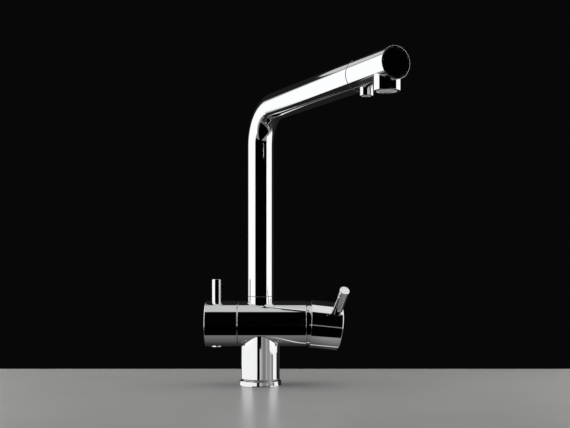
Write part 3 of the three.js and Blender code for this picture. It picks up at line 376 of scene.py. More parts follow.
class Opening:
    """Round hole into a round piece. Its axis meets the piece's own at a right angle, or passes it by an
    offset. The lip is the arc of a ball that rolls inside the edge and touches both surfaces."""

    def __init__(self, place, radius, height, bore, reach, angle=0.0, offset=0.0, lip=EDGE, inside=False):
        self.place, self.radius, self.height, self.bore = place, radius, height, bore
        self.offset, self.lip, self.sign = offset, lip, -1 if inside else 1
        self.way, self.across = place.out(np.array(angle)), place.out(np.array(angle + math.pi / 2))
        self.angle = angle + math.asin(offset / radius)
        middle, half = round(self.angle / (2 * math.pi) * SIDES), round(reach / 360 * SIDES)
        self.first, self.last = middle - half, middle + half

    def rings(self, turns):
        """Edge of the hole on the piece, the piece's outward direction there, and the wall's."""
        along, aside = self.bore * np.cos(turns), self.offset + self.bore * np.sin(turns)
        rise = np.sqrt(self.radius**2 - aside**2)
        edge = self.place.origin + (self.height + along)[:, None] * self.place.axis
        edge = edge + aside[:, None] * self.across + rise[:, None] * self.way
        outward = self.sign * (aside[:, None] * self.across + rise[:, None] * self.way) / self.radius
        wall = -np.cos(turns)[:, None] * self.place.axis - np.sin(turns)[:, None] * self.across
        return edge, outward, wall

    def outline(self, turns):
        """Height and angle of the outer ring of the lip."""
        edge, outward, wall = self.rings(turns)
        ball = edge - self.lip * (outward + wall) / (1 + (outward * wall).sum(1))[:, None]
        ring = ball + self.lip * outward - self.place.origin
        return ring @ self.place.axis, np.arctan2(ring @ self.place.side, ring @ self.place.up)

    def lining(self, turns, level=None, other=None, floor=True):
        """Lip and wall, down to a level floor that is closed in its middle, or to another opening's edge."""
        edge, outward, wall = self.rings(turns)
        ball = edge - self.lip * (outward + wall) / (1 + (outward * wall).sum(1))[:, None]
        opened = np.arccos(np.clip((outward * wall).sum(1), -1, 1))[:, None]
        share = np.linspace(0, 1, LIP_ROWS + 1)[:, None, None]
        blend = (np.sin((1 - share) * opened) * outward + np.sin(share * opened) * wall) / np.sin(opened)
        points, normals = ball + self.lip * blend, blend
        height, angle = self.outline(turns)
        points[0] = self.place.at(height, np.full_like(height, self.radius), angle)
        sheets = [(points, normals)]
        if other is not None:
            far = other.rings(turns)[0]
            return sheets + [(np.stack([points[-1], far]), np.stack([wall, wall]))]
        middle = self.place.origin + self.height * self.place.axis + self.offset * self.across
        deep = middle + level * self.way - self.bore * wall
        sheets.append((np.stack([points[-1], deep]), np.stack([wall, wall])))
        if floor:
            centre = np.broadcast_to(middle + level * self.way, deep.shape)
            facing = np.broadcast_to(self.way, deep.shape)
            sheets.append((np.stack([deep, centre]), np.stack([facing, facing])))
        return sheets


def band(place, radius, low, high, openings, inside=False):
    """Stretch of a round surface with openings. It is a grid of heights and angles. Round an opening, rays
    run in height and angle from its outline to a rectangle of the grid, (1 - t) outline + t rectangle.
    Gives the sheets, and for each opening the turns at which its rays leave it."""
    step, sheets, all_turns = 2 * math.pi / SIDES, [], []
    heights = np.linspace(low, high, BAND_ROWS + 1)
    sign = -1 if inside else 1

    def add(height, angle):
        sheets.append((place.at(height, np.full_like(height, radius), angle), sign * place.out(angle)))

    openings = sorted(openings, key=lambda opening: opening.first)
    starts = [opening.first for opening in openings[1:]] + [openings[0].first + SIDES]
    for opening, start in zip(openings, starts):
        angle, height = np.meshgrid(np.arange(opening.last, start + 1) * step, heights)
        add(height, angle)
        across = np.arange(opening.first, opening.last + 1) * step
        one, rows = np.ones(len(across) - 1), np.ones(BAND_ROWS)
        edge_height = np.concatenate([low * one, heights[:-1], high * one, heights[:0:-1], [low]])
        edge_angle = np.concatenate(
            [across[:-1], across[-1] * rows, across[:0:-1], across[0] * rows, across[:1]]
        )
        turns = np.arctan2(radius * (edge_angle - opening.angle), edge_height - opening.height)
        hole_height, hole_angle = opening.outline(turns)
        near = np.round((edge_angle - hole_angle) / (2 * math.pi))
        hole_angle = hole_angle + near * 2 * math.pi
        share = np.linspace(0, 1, RAY_ROWS + 1)[:, None] ** RAY_GATHER
        add((1 - share) * hole_height + share * edge_height, (1 - share) * hole_angle + share * edge_angle)
        all_turns.append(turns)
    return sheets, dict(zip(openings, all_turns))


def placed(name, data):
    """Object of the scene that shows a mesh or holds a camera."""
    thing = bpy.data.objects.new(name, data)
    bpy.context.scene.collection.objects.link(thing)
    return thing


def make_piece(name, sheets, material, body, replaced=(), crease=None):
    """Mesh from sheets of points and outward directions. Faces are wound to look outwards, doubled points
    are welded, and the outward directions become the mesh's own normals, unless a crease angle is given."""
    points, outward, faces, start = [], [], [], 0
    for grid, facing in sheets:
        facing = np.broadcast_to(facing, grid.shape)
        rows, columns = grid.shape[:2]
        index = np.arange(rows * columns).reshape(rows, columns)
        quads = np.stack([index[:-1, :-1], index[1:, :-1], index[1:, 1:], index[:-1, 1:]], -1).reshape(-1, 4)
        flat, flat_facing = grid.reshape(-1, 3), facing.reshape(-1, 3)
        corners = flat[quads]
        looks = np.cross(corners[:, 2] - corners[:, 0], corners[:, 3] - corners[:, 1])
        if (looks * flat_facing[quads[:, 0]]).sum() < 0:
            quads = quads[:, ::-1]
        points.append(flat)
        outward.append(flat_facing)
        faces.append(quads + start)
        start += len(flat)
    mesh = bpy.data.meshes.new(name)
    mesh.from_pydata(np.vstack(points), [], np.vstack(faces))
    facing = mesh.attributes.new("outward", "FLOAT_VECTOR", "POINT").data
    facing.foreach_set("vector", np.vstack(outward).astype(np.float32).ravel())
    work = bmesh.new()
    work.from_mesh(mesh)
    bmesh.ops.remove_doubles(work, verts=work.verts, dist=WELD)
    work.to_mesh(mesh)
    work.free()
    mesh.shade_smooth()
    kept = np.empty(len(mesh.vertices) * 3, np.float32)
    mesh.attributes["outward"].data.foreach_get("vector", kept)
    mesh.attributes.remove(mesh.attributes["outward"])
    if crease is None:
        mesh.normals_split_custom_set_from_vertices(direction(kept.reshape(-1, 3)))
    else:
        mesh.set_sharp_from_angle(angle=crease)
    mesh.materials.append(material)
    piece = placed(name, mesh)
    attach(piece, body)
    if replaced:
        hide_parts(*replaced)
    return piece


def washer(low, high, inner, outer, edge=EDGE):
    """Closed profile of a flat ring."""
    corners = (low, outer), (high, outer), (high, inner), (low, inner)
    return rounded([(*corner, edge) for corner in corners], closed=True)


def pin(low, high, radius, edge):
    """Profile of a rod with rounded ends, closed on the axis."""
    return rounded([(low, 0, 0), (low, radius, edge), (high, radius, edge), (high, 0, 0)])


# ------------------------------------------------------------
# Finishes


class Value:
    """Output of a node. Arithmetic on it adds Math nodes."""

    def __init__(self, graph, socket):
        self.graph, self.socket = graph, socket

    def math(self, operation, first, second=0.0):
        return self.graph.add("Math", {"operation": operation}, {0: first, 1: second})

    def __abs__(self):
        return self.math("ABSOLUTE", self)

    def __add__(self, other):
        return self.math("ADD", self, other)

    __radd__ = __add__

    def __sub__(self, other):
        return self.math("SUBTRACT", self, other)

    def __rsub__(self, other):
        return self.math("SUBTRACT", other, self)

    def __mul__(self, other):
        return self.math("MULTIPLY", self, other)

    __rmul__ = __mul__

    def __pow__(self, other):
        return self.math("POWER", self, other)


class Graph:
    """Nodes of one material or world."""

    def __init__(self, owner):
        owner.use_nodes = True
        self.tree = owner.node_tree
        self.tree.nodes.clear()

    def add(self, kind, settings=None, sockets=None, output=0):
        """Output of a new shader node. Its settings are set first, then its sockets' values or links."""
        node = self.tree.nodes.new("ShaderNode" + kind)
        for name, value in (settings or {}).items():
            setattr(node, name, value)
        for name, value in (sockets or {}).items():
            if isinstance(value, Value):
                self.tree.links.new(value.socket, node.inputs[name])
            else:
                node.inputs[name].default_value = value
        return Value(self, node.outputs[output]) if node.outputs else None

    def place(self, stretch=(1.0, 1.0, 1.0)):
        """Place on the object, in metres, stretched along its axes."""
        where = self.add("TexCoord", output=3)
        return self.add("Mapping", {}, {"Vector": where, "Scale": stretch})

    def noise(self, scale, detail=2.0, stretch=(1.0, 1.0, 1.0)):
        """Noise from 0 to 1, with features of about 1 / scale metres."""
        sockets = {"Vector": self.place(stretch), "Scale": scale, "Detail": detail}
        return self.add("TexNoise", {}, sockets)

    def shade(self, share, base, first, second):
        """Colour between two tints of the same colour, each a factor of it."""
        tints = [(*(min(1.0, channel * factor) for channel in base), 1.0) for factor in (first, second)]
        return self.add("Mix", {"data_type": "RGBA"}, {0: share, 6: tints[0], 7: tints[1]}, 2)

    def bump(self, height, distance):
        return self.add("Bump", {}, {"Height": height, "Distance": distance, "Strength": 1.0})

    def emission(self, strength):
        return self.add("Emission", {}, {"Color": (1, 1, 1, 1), "Strength": strength})

    def end(self, shader, kind="Material"):
        """Shader on the output."""
        self.add(f"Output{kind}", {}, {"Surface": shader})

    def surface(self, **sockets):
        """Principled shader on the output. An underscore in a socket's name stands for a space."""
        named = {name.replace("_", " "): value for name, value in sockets.items()}
        self.end(self.add("BsdfPrincipled", {}, named))


def polished_chrome(graph, base):
    """Mirror plate over polished brass: faint haze, fine wiping marks, the gentle waves of hand polish."""
    haze = graph.noise(45.0, 3.0)
    wiped = graph.noise(1400.0, 2.0, (1.0, 1.0, 0.15))
    graph.surface(
        Base_Color=graph.shade(haze, base, 0.965, 1.0),
        Metallic=1.0,
        Roughness=haze * 0.03 + wiped * 0.02 + 0.012,
        Normal=graph.bump(graph.noise(28.0, 1.0), 0.00004),
    )


def machined_brass(graph, base):
    """Turned brass: tool marks round the parts, and patches of darker oxide."""
    oxide = graph.noise(90.0, 4.0)
    tool = graph.noise(2600.0, 1.0)
    graph.surface(
        Base_Color=graph.shade(oxide, base, 0.72, 1.08),
        Metallic=1.0,
        Roughness=oxide * 0.18 + tool * 0.08 + 0.2,
        Normal=graph.bump(tool, 0.00002),
    )


def brushed_steel(graph, base):
    """Stainless steel with a fine brushed grain along the body's axis."""
    grain = graph.noise(1500.0, 3.0, (0.08, 1.0, 1.0))
    graph.surface(
        Base_Color=graph.shade(grain, base, 0.86, 1.1),
        Metallic=1.0,
        Roughness=grain * 0.16 + 0.24,
        Normal=graph.bump(grain, 0.00001),
    )


def seal_rubber(graph, base):
    """Moulded rubber with a dusty bloom and a fine skin."""
    bloom = graph.noise(120.0, 4.0)
    graph.surface(
        Base_Color=graph.shade(bloom**2, base, 1.0, 2.2),
        Roughness=bloom * 0.25 + 0.55,
        Normal=graph.bump(graph.noise(1800.0, 2.0), 0.00003),
    )


def moulded_plastic(graph, base):
    """White moulded plastic with flow clouding and a satin spark texture."""
    cloud = graph.noise(70.0, 3.0)
    graph.surface(
        Base_Color=graph.shade(cloud, base, 0.93, 1.04),
        Roughness=cloud * 0.12 + 0.34,
        Subsurface_Weight=0.08,
        Subsurface_Radius=(0.002, 0.0018, 0.0015),
        Normal=graph.bump(graph.noise(2200.0, 2.0), 0.00001),
    )


def lapped_ceramic(graph, base):
    """Lapped alumina: cream white, smooth, with a fine speckle."""
    speckle = graph.noise(1600.0, 2.0)
    graph.surface(
        Base_Color=graph.shade(speckle, base, 0.94, 1.05),
        Roughness=speckle * 0.1 + 0.1,
        Coat_Weight=0.3,
    )


def pale_worktop(graph, base):
    """Pale honed worktop with a soft mottle."""
    mottle = graph.noise(14.0, 4.0)
    graph.surface(
        Base_Color=graph.shade(mottle, base, 0.96, 1.03),
        Roughness=mottle * 0.08 + 0.26,
    )


FINISHES = {
    "chrome": polished_chrome,
    "brass": machined_brass,
    "steel": brushed_steel,
    "rubber": seal_rubber,
    "plastic": moulded_plastic,
    "ceramic": lapped_ceramic,
    "worktop": pale_worktop,
}


def finish(slot):
    """Material of a slot, made when it is first asked for."""
    found = bpy.data.materials.get(f"tap_{slot}")
    if found:
        return found
    material = bpy.data.materials.new(f"tap_{slot}")
    FINISHES[slot](Graph(material), tuple(getattr(bpy.context.scene.tap_finishes, slot)))
    return material


def dress(name, sheets, slot, body, crease=None):
    """Piece that stands for the solid of its own name."""
    make_piece(name + "_surface", sheets, finish(slot), body, (name,), crease)


# ------------------------------------------------------------
# Places


def barrel_axis(sizes):
    """The body's axis. Angles start at the top and go towards the user."""
    return Axis((0, 0, sizes.axis_height), ALONG, UP)


def arm_axis(sizes):
    """The arm's axis. Heights are distances from the column's axis."""
    return Axis((0, 0, sizes.arm_height), (math.cos(sizes.azimuth), math.sin(sizes.azimuth), 0), UP)


def cap_axis(mixer, body):
    """The mixer cap's own axis, from the pivot: the tilt about the lever's side, then the turn about the
    body's axis."""
    tilt, turned = mixer.rest_tilt, mixer.rest_turn
    cosine, sine = math.cos(turned), math.sin(turned)
    along = (math.cos(tilt), sine * math.sin(tilt), -cosine * math.sin(tilt))
    lever = (math.sin(tilt), -sine * math.cos(tilt), cosine * math.cos(tilt))
    return Axis((mixer.pivot, 0, body.axis_height), along, lever)


# ------------------------------------------------------------
# Pieces


def turned(name, place, rows, slot, body):
    """Piece that is one profile turned about an axis."""
    dress(name, [place.surface(rows)], slot, body)


def pierced(place, low, high, outer, inner, height, bore, span):
    """Stretch of a tube's wall, both faces, with a round hole through its underside."""
    outside = Opening(place, outer, height, bore, span, angle=math.pi)
    inside = Opening(place, inner, height, bore, span, angle=math.pi, lip=0.0, inside=True)
    sheets, turns = band(place, outer, low, high, [outside])
    within, _ = band(place, inner, low, high, [inside], inside=True)
    return sheets + within + outside.lining(turns[outside], other=inside)


def seam_shade_ring(name, place, low, high, inner, outer, body):
    """Dark ring of painted shade that fills the depth of a seam."""
    rows = washer(low + SEAM_CLEARANCE, high - SEAM_CLEARANCE, inner, outer - SEAM_DEPTH, SEAT_EDGE)
    make_piece(name, [place.surface(rows)], finish("rubber"), body)


class TAP_OT_spout(Operator):
    """Bent tube, the head on its end and the fixed collar under it"""

    bl_idname = "tap.spout"
    bl_label = "Spout"

    def execute(self, context):
        s = context.scene.tap_spout
        line, column, arm = SpoutLine(s), Axis((0, 0, 0)), arm_axis(s)
        end = line.along_arm(s.arm_reach)
        stops = s.foot, line.start, line.end, end
        runs = zip(stops, stops[1:], (RUN_ROWS, BEND_ROWS + 1, RUN_ROWS))
        stations = np.unique(np.concatenate([np.linspace(*run) for run in runs]))
        tube = closer(washer(s.foot, end, s.tube_bore, s.tube_radius), stations)
        dress("spout_tube", [line.surface(tube)], "chrome", "spout")
        collar = washer(s.collar_low, s.collar_high, s.tube_bore, s.tube_radius)
        turned("spout_collar", column, collar, "chrome", "body")
        # Dark ring of painted shade in the seam between the collar and the tube
        seam_shade_ring("swivel_seam_shade_ring", column, s.collar_high, s.foot, s.tube_bore, s.tube_radius, "body")
        self.head(s, context.scene.tap_outlets, arm)
        neck = s.neck_radius + PLATE_CLEARANCE
        # Dark ring of painted shade in the seam between the arm and the head
        seam_shade_ring("head_seam_shade_ring", arm, s.arm_reach, s.head_start, neck, s.tube_radius, "spout")
        return {"FINISHED"}

    def head(self, s, outlets, arm):
        """Shell with a neck inside the arm, two openings in its underside and a plate in its end."""
        sheets, ends = [], []
        for reach, radius, span in (
            (outlets.filtered_reach, outlets.filtered_radius, FILTERED_SPAN),
            (outlets.main_reach, outlets.main_radius, MAIN_SPAN),
        ):
            bore = radius - outlets.neck_step + SCREW_CLEARANCE
            low, high = reach - bore - NOZZLE_MARGIN, reach + bore + NOZZLE_MARGIN
            sheets += pierced(arm, low, high, s.tube_radius, s.tube_bore, reach, bore, span)
            ends += [low, high]
        shoulder = s.head_start + s.tube_radius - s.tube_bore
        profiles = (
            [(ends[0], s.tube_bore), (shoulder, s.tube_bore), (shoulder, s.neck_bore),
             (s.neck_start, s.neck_bore), (s.neck_start, s.neck_radius), (s.head_start, s.neck_radius),
             (s.head_start, s.tube_radius, s.seam_round), (ends[0], s.tube_radius)],
            [(ends[1], s.tube_radius), (ends[2], s.tube_radius)],
            [(ends[2], s.tube_bore), (ends[1], s.tube_bore)],
            [(ends[3], s.tube_radius), (s.head_end, s.tube_radius, s.head_round),
             (s.head_end, s.tube_bore, PLATE_EDGE), (ends[3], s.tube_bore)],
        )
        dress("spout_head", sheets + [arm.surface(rounded(rows)) for rows in profiles], "chrome", "spout")
        plate = pin(s.head_end - s.cap_thickness, s.head_end, s.tube_bore - PLATE_CLEARANCE, PLATE_EDGE)
        turned("spout_end_cap", arm, plate, "chrome", "spout")


class TAP_OT_outlets(Operator):
    """Main and filtered outlets under the head"""

    bl_idname = "tap.outlets"
    bl_label = "Outlets"

    def execute(self, context):
        s, o = context.scene.tap_spout, context.scene.tap_outlets
        self.outlet("aerator_housing", s, o, o.main_reach, o.main_radius, o.main_bore, o.main_bottom)
        filtered = o.filtered_reach, o.filtered_radius, o.filtered_bore, o.filtered_bottom
        self.outlet("filtered_nozzle", s, o, *filtered)
        return {"FINISHED"}

    def outlet(self, name, s, o, reach, radius, bore, bottom):
        """Turned skirt whose top lies against the arm: a top row is lifted to arm height less
        sqrt(tube radius^2 - across^2), where across is its distance from the arm's middle plane."""
        arm = arm_axis(s)
        place = Axis(arm.origin + reach * arm.axis - s.arm_height * np.array(UP), UP, arm.axis)
        clear = s.tube_radius + 0.1 * MM
        seat, neck = s.arm_height - clear, radius - o.neck_step
        rows = rounded(
            [(bottom, radius, o.lip), (seat, radius, SEAT_EDGE), (seat, neck, SEAT_EDGE),
             (o.neck_top, neck), (o.neck_top, bore), (bottom, bore, o.lip / 2)],
            closed=True,
        )
        points, facing = place.surface(rows)
        across = rows[1][:, None] * np.sin(np.linspace(0, 2 * math.pi, SIDES + 1))
        under = s.arm_height - np.sqrt(clear**2 - across**2)
        height, near = points[..., 2], 0.2 * MM
        collar = (rows[1] > neck - WELD) & (rows[0] > seat - near) & (rows[0] < seat + near)
        top = rows[0] > seat + near
        height = np.where(collar[:, None], height + under - seat, height)
        points[..., 2] = np.where(top[:, None], np.maximum(height, under + 0.3 * MM), height)
        dress(name, [(points, facing)], "chrome", "spout")


class TAP_OT_body(Operator):
    """Horizontal body and pedestal in one casting"""

    bl_idname = "tap.body"
    bl_label = "Body"

    def execute(self, context):
        s = context.scene.tap_body
        barrel = barrel_axis(s)
        high = s.pedestal_radius + s.fillet + SADDLE_MARGIN
        place, bore = s.screw_height - s.axis_height, s.screw_radius + 0.15 * MM
        socket = Opening(barrel, s.radius, 0.0, s.socket_radius, SOCKET_SPAN)
        screw = Opening(barrel, s.radius, 0.0, bore, RETAINER_SPAN, angle=1.5 * math.pi, offset=place)
        saddle = Saddle(barrel, s)
        sheets, turns = band(barrel, s.radius, -high, high, [socket, screw, saddle])
        sheets += socket.lining(turns[socket], level=s.socket_floor - s.axis_height)
        sheets += screw.lining(turns[screw], level=s.socket_radius - 0.5 * MM)
        sheets += saddle.lining(turns[saddle])
        right = [
            (high, s.radius), (s.right, s.radius, s.end_round), (s.right, s.nut_radius),
            (s.nut_back, s.nut_radius), (s.nut_back, s.chamber_radius), (s.chamber_floor, s.chamber_radius),
            (s.chamber_floor, 0),
        ]
        left = [
            (-s.valve_floor, 0), (-s.valve_floor, s.valve_radius), (-s.boss_end, s.valve_radius),
            (-s.boss_end, s.boss_radius), (-s.left, s.boss_radius), (-s.left, s.radius, s.seam_round),
            (-high, s.radius),
        ]
        sheets += [barrel.surface(rounded(corners)) for corners in (right, left)]
        dress("mixer_body", sheets, "chrome", "body")
        return {"FINISHED"}


class Saddle:
    """Where the upright pedestal meets the level body. A ball of the fillet's radius rolls between both:
    its centre is pedestal radius + fillet from the column's axis, and body radius + fillet from the
    body's."""

    def __init__(self, barrel, sizes):
        self.barrel, self.sizes = barrel, sizes
        self.height, self.angle = 0.0, math.pi
        half = round(SADDLE_SPAN / 360 * SIDES)
        self.first, self.last = SIDES // 2 - half, SIDES // 2 + half

    def centre(self, turns):
        s = self.sizes
        ball, reach = s.pedestal_radius + s.fillet, s.radius + s.fillet
        x, y = ball * np.cos(turns), -ball * np.sin(turns)
        drop = np.sqrt(reach**2 - y**2)
        return np.stack([x, -y, s.axis_height - drop], -1), drop

    def outline(self, turns):
        centre, drop = self.centre(turns)
        return centre[:, 0], math.pi + np.arctan2(centre[:, 1], drop)

    def lining(self, turns):
        """Fillet, pedestal, rounded foot, lower face, thread for the shank and its ceiling."""
        s = self.sizes
        centre, drop = self.centre(turns)
        to_body = -direction(centre - np.array([0, 0, s.axis_height]) - centre * np.array(ALONG))
        out = direction(centre * np.array([1, 1, 0]))
        opened = np.arccos(np.clip(-(to_body * out).sum(1), -1, 1))[:, None]
        share = np.linspace(0, 1, 2 * LIP_ROWS + 1)[:, None, None]
        spoke = (np.sin((1 - share) * opened) * to_body - np.sin(share * opened) * out) / np.sin(opened)
        sheets = [(centre + s.fillet * spoke, -spoke)]
        t = np.linspace(0, math.pi / 2, 10)
        foot_radius = s.pedestal_radius - s.foot_round * (1 - np.cos(t))
        foot_height = s.pedestal_foot + s.foot_height * (1 - np.sin(t))
        along, outward = direction(np.stack([-s.foot_round * np.sin(t), s.foot_height * np.cos(t)], -1)).T
        points = out * foot_radius[:, None, None] + np.array(UP) * foot_height[:, None, None]
        normals = out * outward[:, None, None] + np.array(UP) * along[:, None, None]
        upper = np.stack([centre - s.fillet * out, points[0]])
        sheets += [(upper, np.stack([out, out])), (points, normals)]
        bottom, ceiling = s.pedestal_foot, s.shank_ceiling
        inner = [(bottom, foot_radius[-1]), (bottom, s.shank_bore), (ceiling, s.shank_bore), (ceiling, 0)]
        height, radius, along, outward = rounded(inner)[:, :, None, None]
        sheets.append((out * radius + np.array(UP) * height, -out * outward - np.array(UP) * along))
        return sheets


class TAP_OT_mixer(Operator):
    """Mixer cap with its pin lever, and the round ring that the cap tilts over"""

    bl_idname = "tap.mixer"
    bl_label = "Mixer cap"

    def execute(self, context):
        m, b = context.scene.tap_mixer, context.scene.tap_body
        cap = cap_axis(m, b)
        lever = Opening(cap, m.radius, m.lever_height, m.lever_radius + LEVER_CLEARANCE, LEVER_SPAN)
        lever_low = m.lever_height - m.lever_radius - LEVER_MARGIN
        lever_high = m.end - m.end_round - 0.02 * MM
        sheets, turns = band(cap, m.radius, lever_low, lever_high, [lever])
        sheets += lever.lining(turns[lever], level=m.lever_low - 0.3 * MM)
        seat_low, seat_high = m.screw_place - CAP_SCREW_REACH, m.screw_place + CAP_SCREW_REACH
        bore = m.screw_radius + SCREW_CLEARANCE
        sheets += pierced(cap, seat_low, seat_high, m.radius, m.bore, m.screw_place, bore, SCREW_SPAN)
        profiles = [
            [(seat_high, m.radius), (lever_low, m.radius)],
            [(lever_high, m.radius), (m.end, m.radius, m.end_round), (m.end, 0)],
            [(seat_high, m.bore), (m.floor, m.bore), (m.floor, m.boss_radius), (m.boss_back, m.boss_radius),
             (m.boss_back, m.boss_bore), (m.floor, m.boss_bore), (m.floor, 0)],
        ]
        sheets += [cap.surface(rounded(corners)) for corners in profiles]
        skirt = [
            (seat_low, m.bore), (m.skirt_end, m.bore, 0.02 * MM), (m.skirt_end, m.skirt_bore),
            (m.rim, m.skirt_bore, m.rim_round / 2), (m.rim, m.radius, m.rim_round), (seat_low, m.radius),
        ]
        below, slope = m.rim + 2 * m.rim_round, math.tan(m.slant)
        sheets.append(self.slanted(cap, cap.surface(rounded(skirt)), below, slope))
        dress("mixer_handle", sheets, "chrome", "mixer_cap")
        stem = Axis(cap.origin + m.lever_height * cap.axis, cap.up, cap.side)
        lever = pin(m.lever_low, m.lever_high, m.lever_radius, m.lever_edge)
        turned("mixer_lever", stem, lever, "chrome", "mixer_cap")
        grub = Axis(cap.origin + m.screw_place * cap.axis, -cap.up, cap.side)
        socket_screw("handle_grub_screw", grub, m, "mixer_cap")
        self.dome(m, b)
        return {"FINISHED"}

    def dome(self, m, b):
        """Ring whose outside is part of a ball about the pivot: its arcs touch the ball at the middles of
        equal steps, with corners at ball radius / cos(half a step)."""
        ends = m.dome_back, m.dome_front
        first, last = (math.asin((height - m.pivot) / m.dome_radius) for height in ends)
        half = (last - first) / DOME_STEPS / 2
        corner = m.dome_radius / math.cos(half)
        middles = first + half * np.arange(1, 2 * DOME_STEPS, 2)
        ring = [
            (m.dome_back, m.dome_radius * math.cos(first)),
            *((m.pivot + corner * math.sin(t), corner * math.cos(t), m.dome_radius) for t in middles),
            (m.dome_front, m.dome_radius * math.cos(last)),
            (m.dome_front, b.chamber_radius),
            (m.dome_back, b.chamber_radius),
        ]
        turned("handle_dome", barrel_axis(b), rounded(ring, closed=True), "chrome", "body")

    def slanted(self, cap, sheet, below, slope):
        """Points below a height move along the axis by -slope times their height on the lever's side, and
        the outward directions turn with them."""
        points, facing = sheet
        place = points - cap.origin
        share = np.where(place @ cap.axis < below, slope, 0.0)[..., None]
        moved = points - share * (place @ cap.up)[..., None] * cap.axis
        return moved, facing + share * (facing @ cap.axis)[..., None] * cap.up


class TAP_OT_knob(Operator):
    """Knob for the filtered water, with its pin lever right through it"""

    bl_idname = "tap.knob"
    bl_label = "Filter knob"

    def execute(self, context):
        k, b, m = context.scene.tap_knob, context.scene.tap_body, context.scene.tap_mixer
        barrel = barrel_axis(b)
        bore = m.lever_radius + LEVER_CLEARANCE
        place = -k.lever_place
        holes = [Opening(barrel, k.radius, place, bore, LEVER_SPAN, angle=angle) for angle in (0.0, math.pi)]
        low, high = place - LEVER_REACH, place + LEVER_REACH
        sheets, turns = band(barrel, k.radius, low, high, holes)
        for hole in holes:
            sheets += hole.lining(turns[hole], level=0.0, floor=False)
        place, bore = -k.screw_place, m.screw_radius + SCREW_CLEARANCE
        seat = Opening(barrel, k.radius, place, bore, SCREW_SPAN, angle=math.pi)
        seat_low, seat_high = place - KNOB_SCREW_REACH, place + KNOB_SCREW_REACH
        outside, turns = band(barrel, k.radius, seat_low, seat_high, [seat])
        sheets += outside + seat.lining(turns[seat], level=m.screw_inner)
        profiles = [
            [(-k.left, 0), (-k.left, k.radius, k.end_round), (low, k.radius)],
            [(high, k.radius), (seat_low, k.radius)],
            [(seat_high, k.radius), (-k.right, k.radius, k.seam_round), (-k.right, k.hollow_radius),
             (-k.hollow_end, k.hollow_radius), (-k.hollow_end, k.socket_radius),
             (-k.socket_end, k.socket_radius), (-k.socket_end, 0)],
        ]
        sheets += [barrel.surface(rounded(corners)) for corners in profiles]
        dress("filter_knob", sheets, "chrome", "filter_control")
        lever = pin(k.lever_low, k.lever_high, m.lever_radius, m.lever_edge)
        turned("filter_lever", Axis((-k.lever_place, 0, 0)), lever, "chrome", "filter_control")
        grub = Axis((-k.screw_place, 0, b.axis_height), (0, 0, -1), ALONG)
        socket_screw("knob_grub_screw", grub, m, "filter_control")
        return {"FINISHED"}


def hexagon(angle, apothem):
    """Radius of a hexagon at an angle: apothem / cos of the angle from the nearest flat's middle."""
    sixth = math.pi / 3
    return apothem / np.cos((angle + sixth / 2) % sixth - sixth / 2)


def ringed(place, rows):
    """Sheet from rows of height and radius, each a number or an array over the angles, facing outwards
    from the row's own profile."""
    height, radius = (np.array([row[i] + 0 * TURNS for row in rows]) for i in (0, 1))
    way = np.gradient(height, axis=0)[..., None] * place.out(TURNS)
    way = way - np.gradient(radius, axis=0)[..., None] * place.axis
    return place.at(height, radius, TURNS + 0 * height), way


def helix(low, high, pitch, count):
    """Heights of a thread's rows, and how far each of their places is from the thread's root, from 0 to 1
    at the crest, by the distance from height = pitch * angle / full turn."""
    heights = np.arange(low, high, pitch / count)
    share = (heights[:, None] - pitch * TURNS / (2 * math.pi)) / pitch
    return heights, np.abs(share % 1 - 0.5) * 2


def socket_screw(name, place, sizes, body):
    """Grub screw: threaded sides, a chamfered tip and a hexagon socket in its outer end."""
    inner, outer, radius = sizes.screw_inner, sizes.screw_outer, sizes.screw_radius
    key = hexagon(TURNS, radius * 0.5)
    pitch, depth = radius * 0.28, radius * 0.1
    heights, wave = helix(inner + pitch, outer - pitch / 2, pitch, 4)
    rows = [
        (inner, 0), (inner, radius * 0.6), (inner + pitch * 0.8, radius - depth),
        *zip(heights, radius - depth * (1 - wave)),
        (outer - pitch * 0.3, radius - depth), (outer, radius - 2 * depth),
        (outer, key), (outer - radius, key), (outer - radius * 1.2, 0),
    ]
    dress(name, [ringed(place, rows)], "steel", body, crease=math.radians(35))


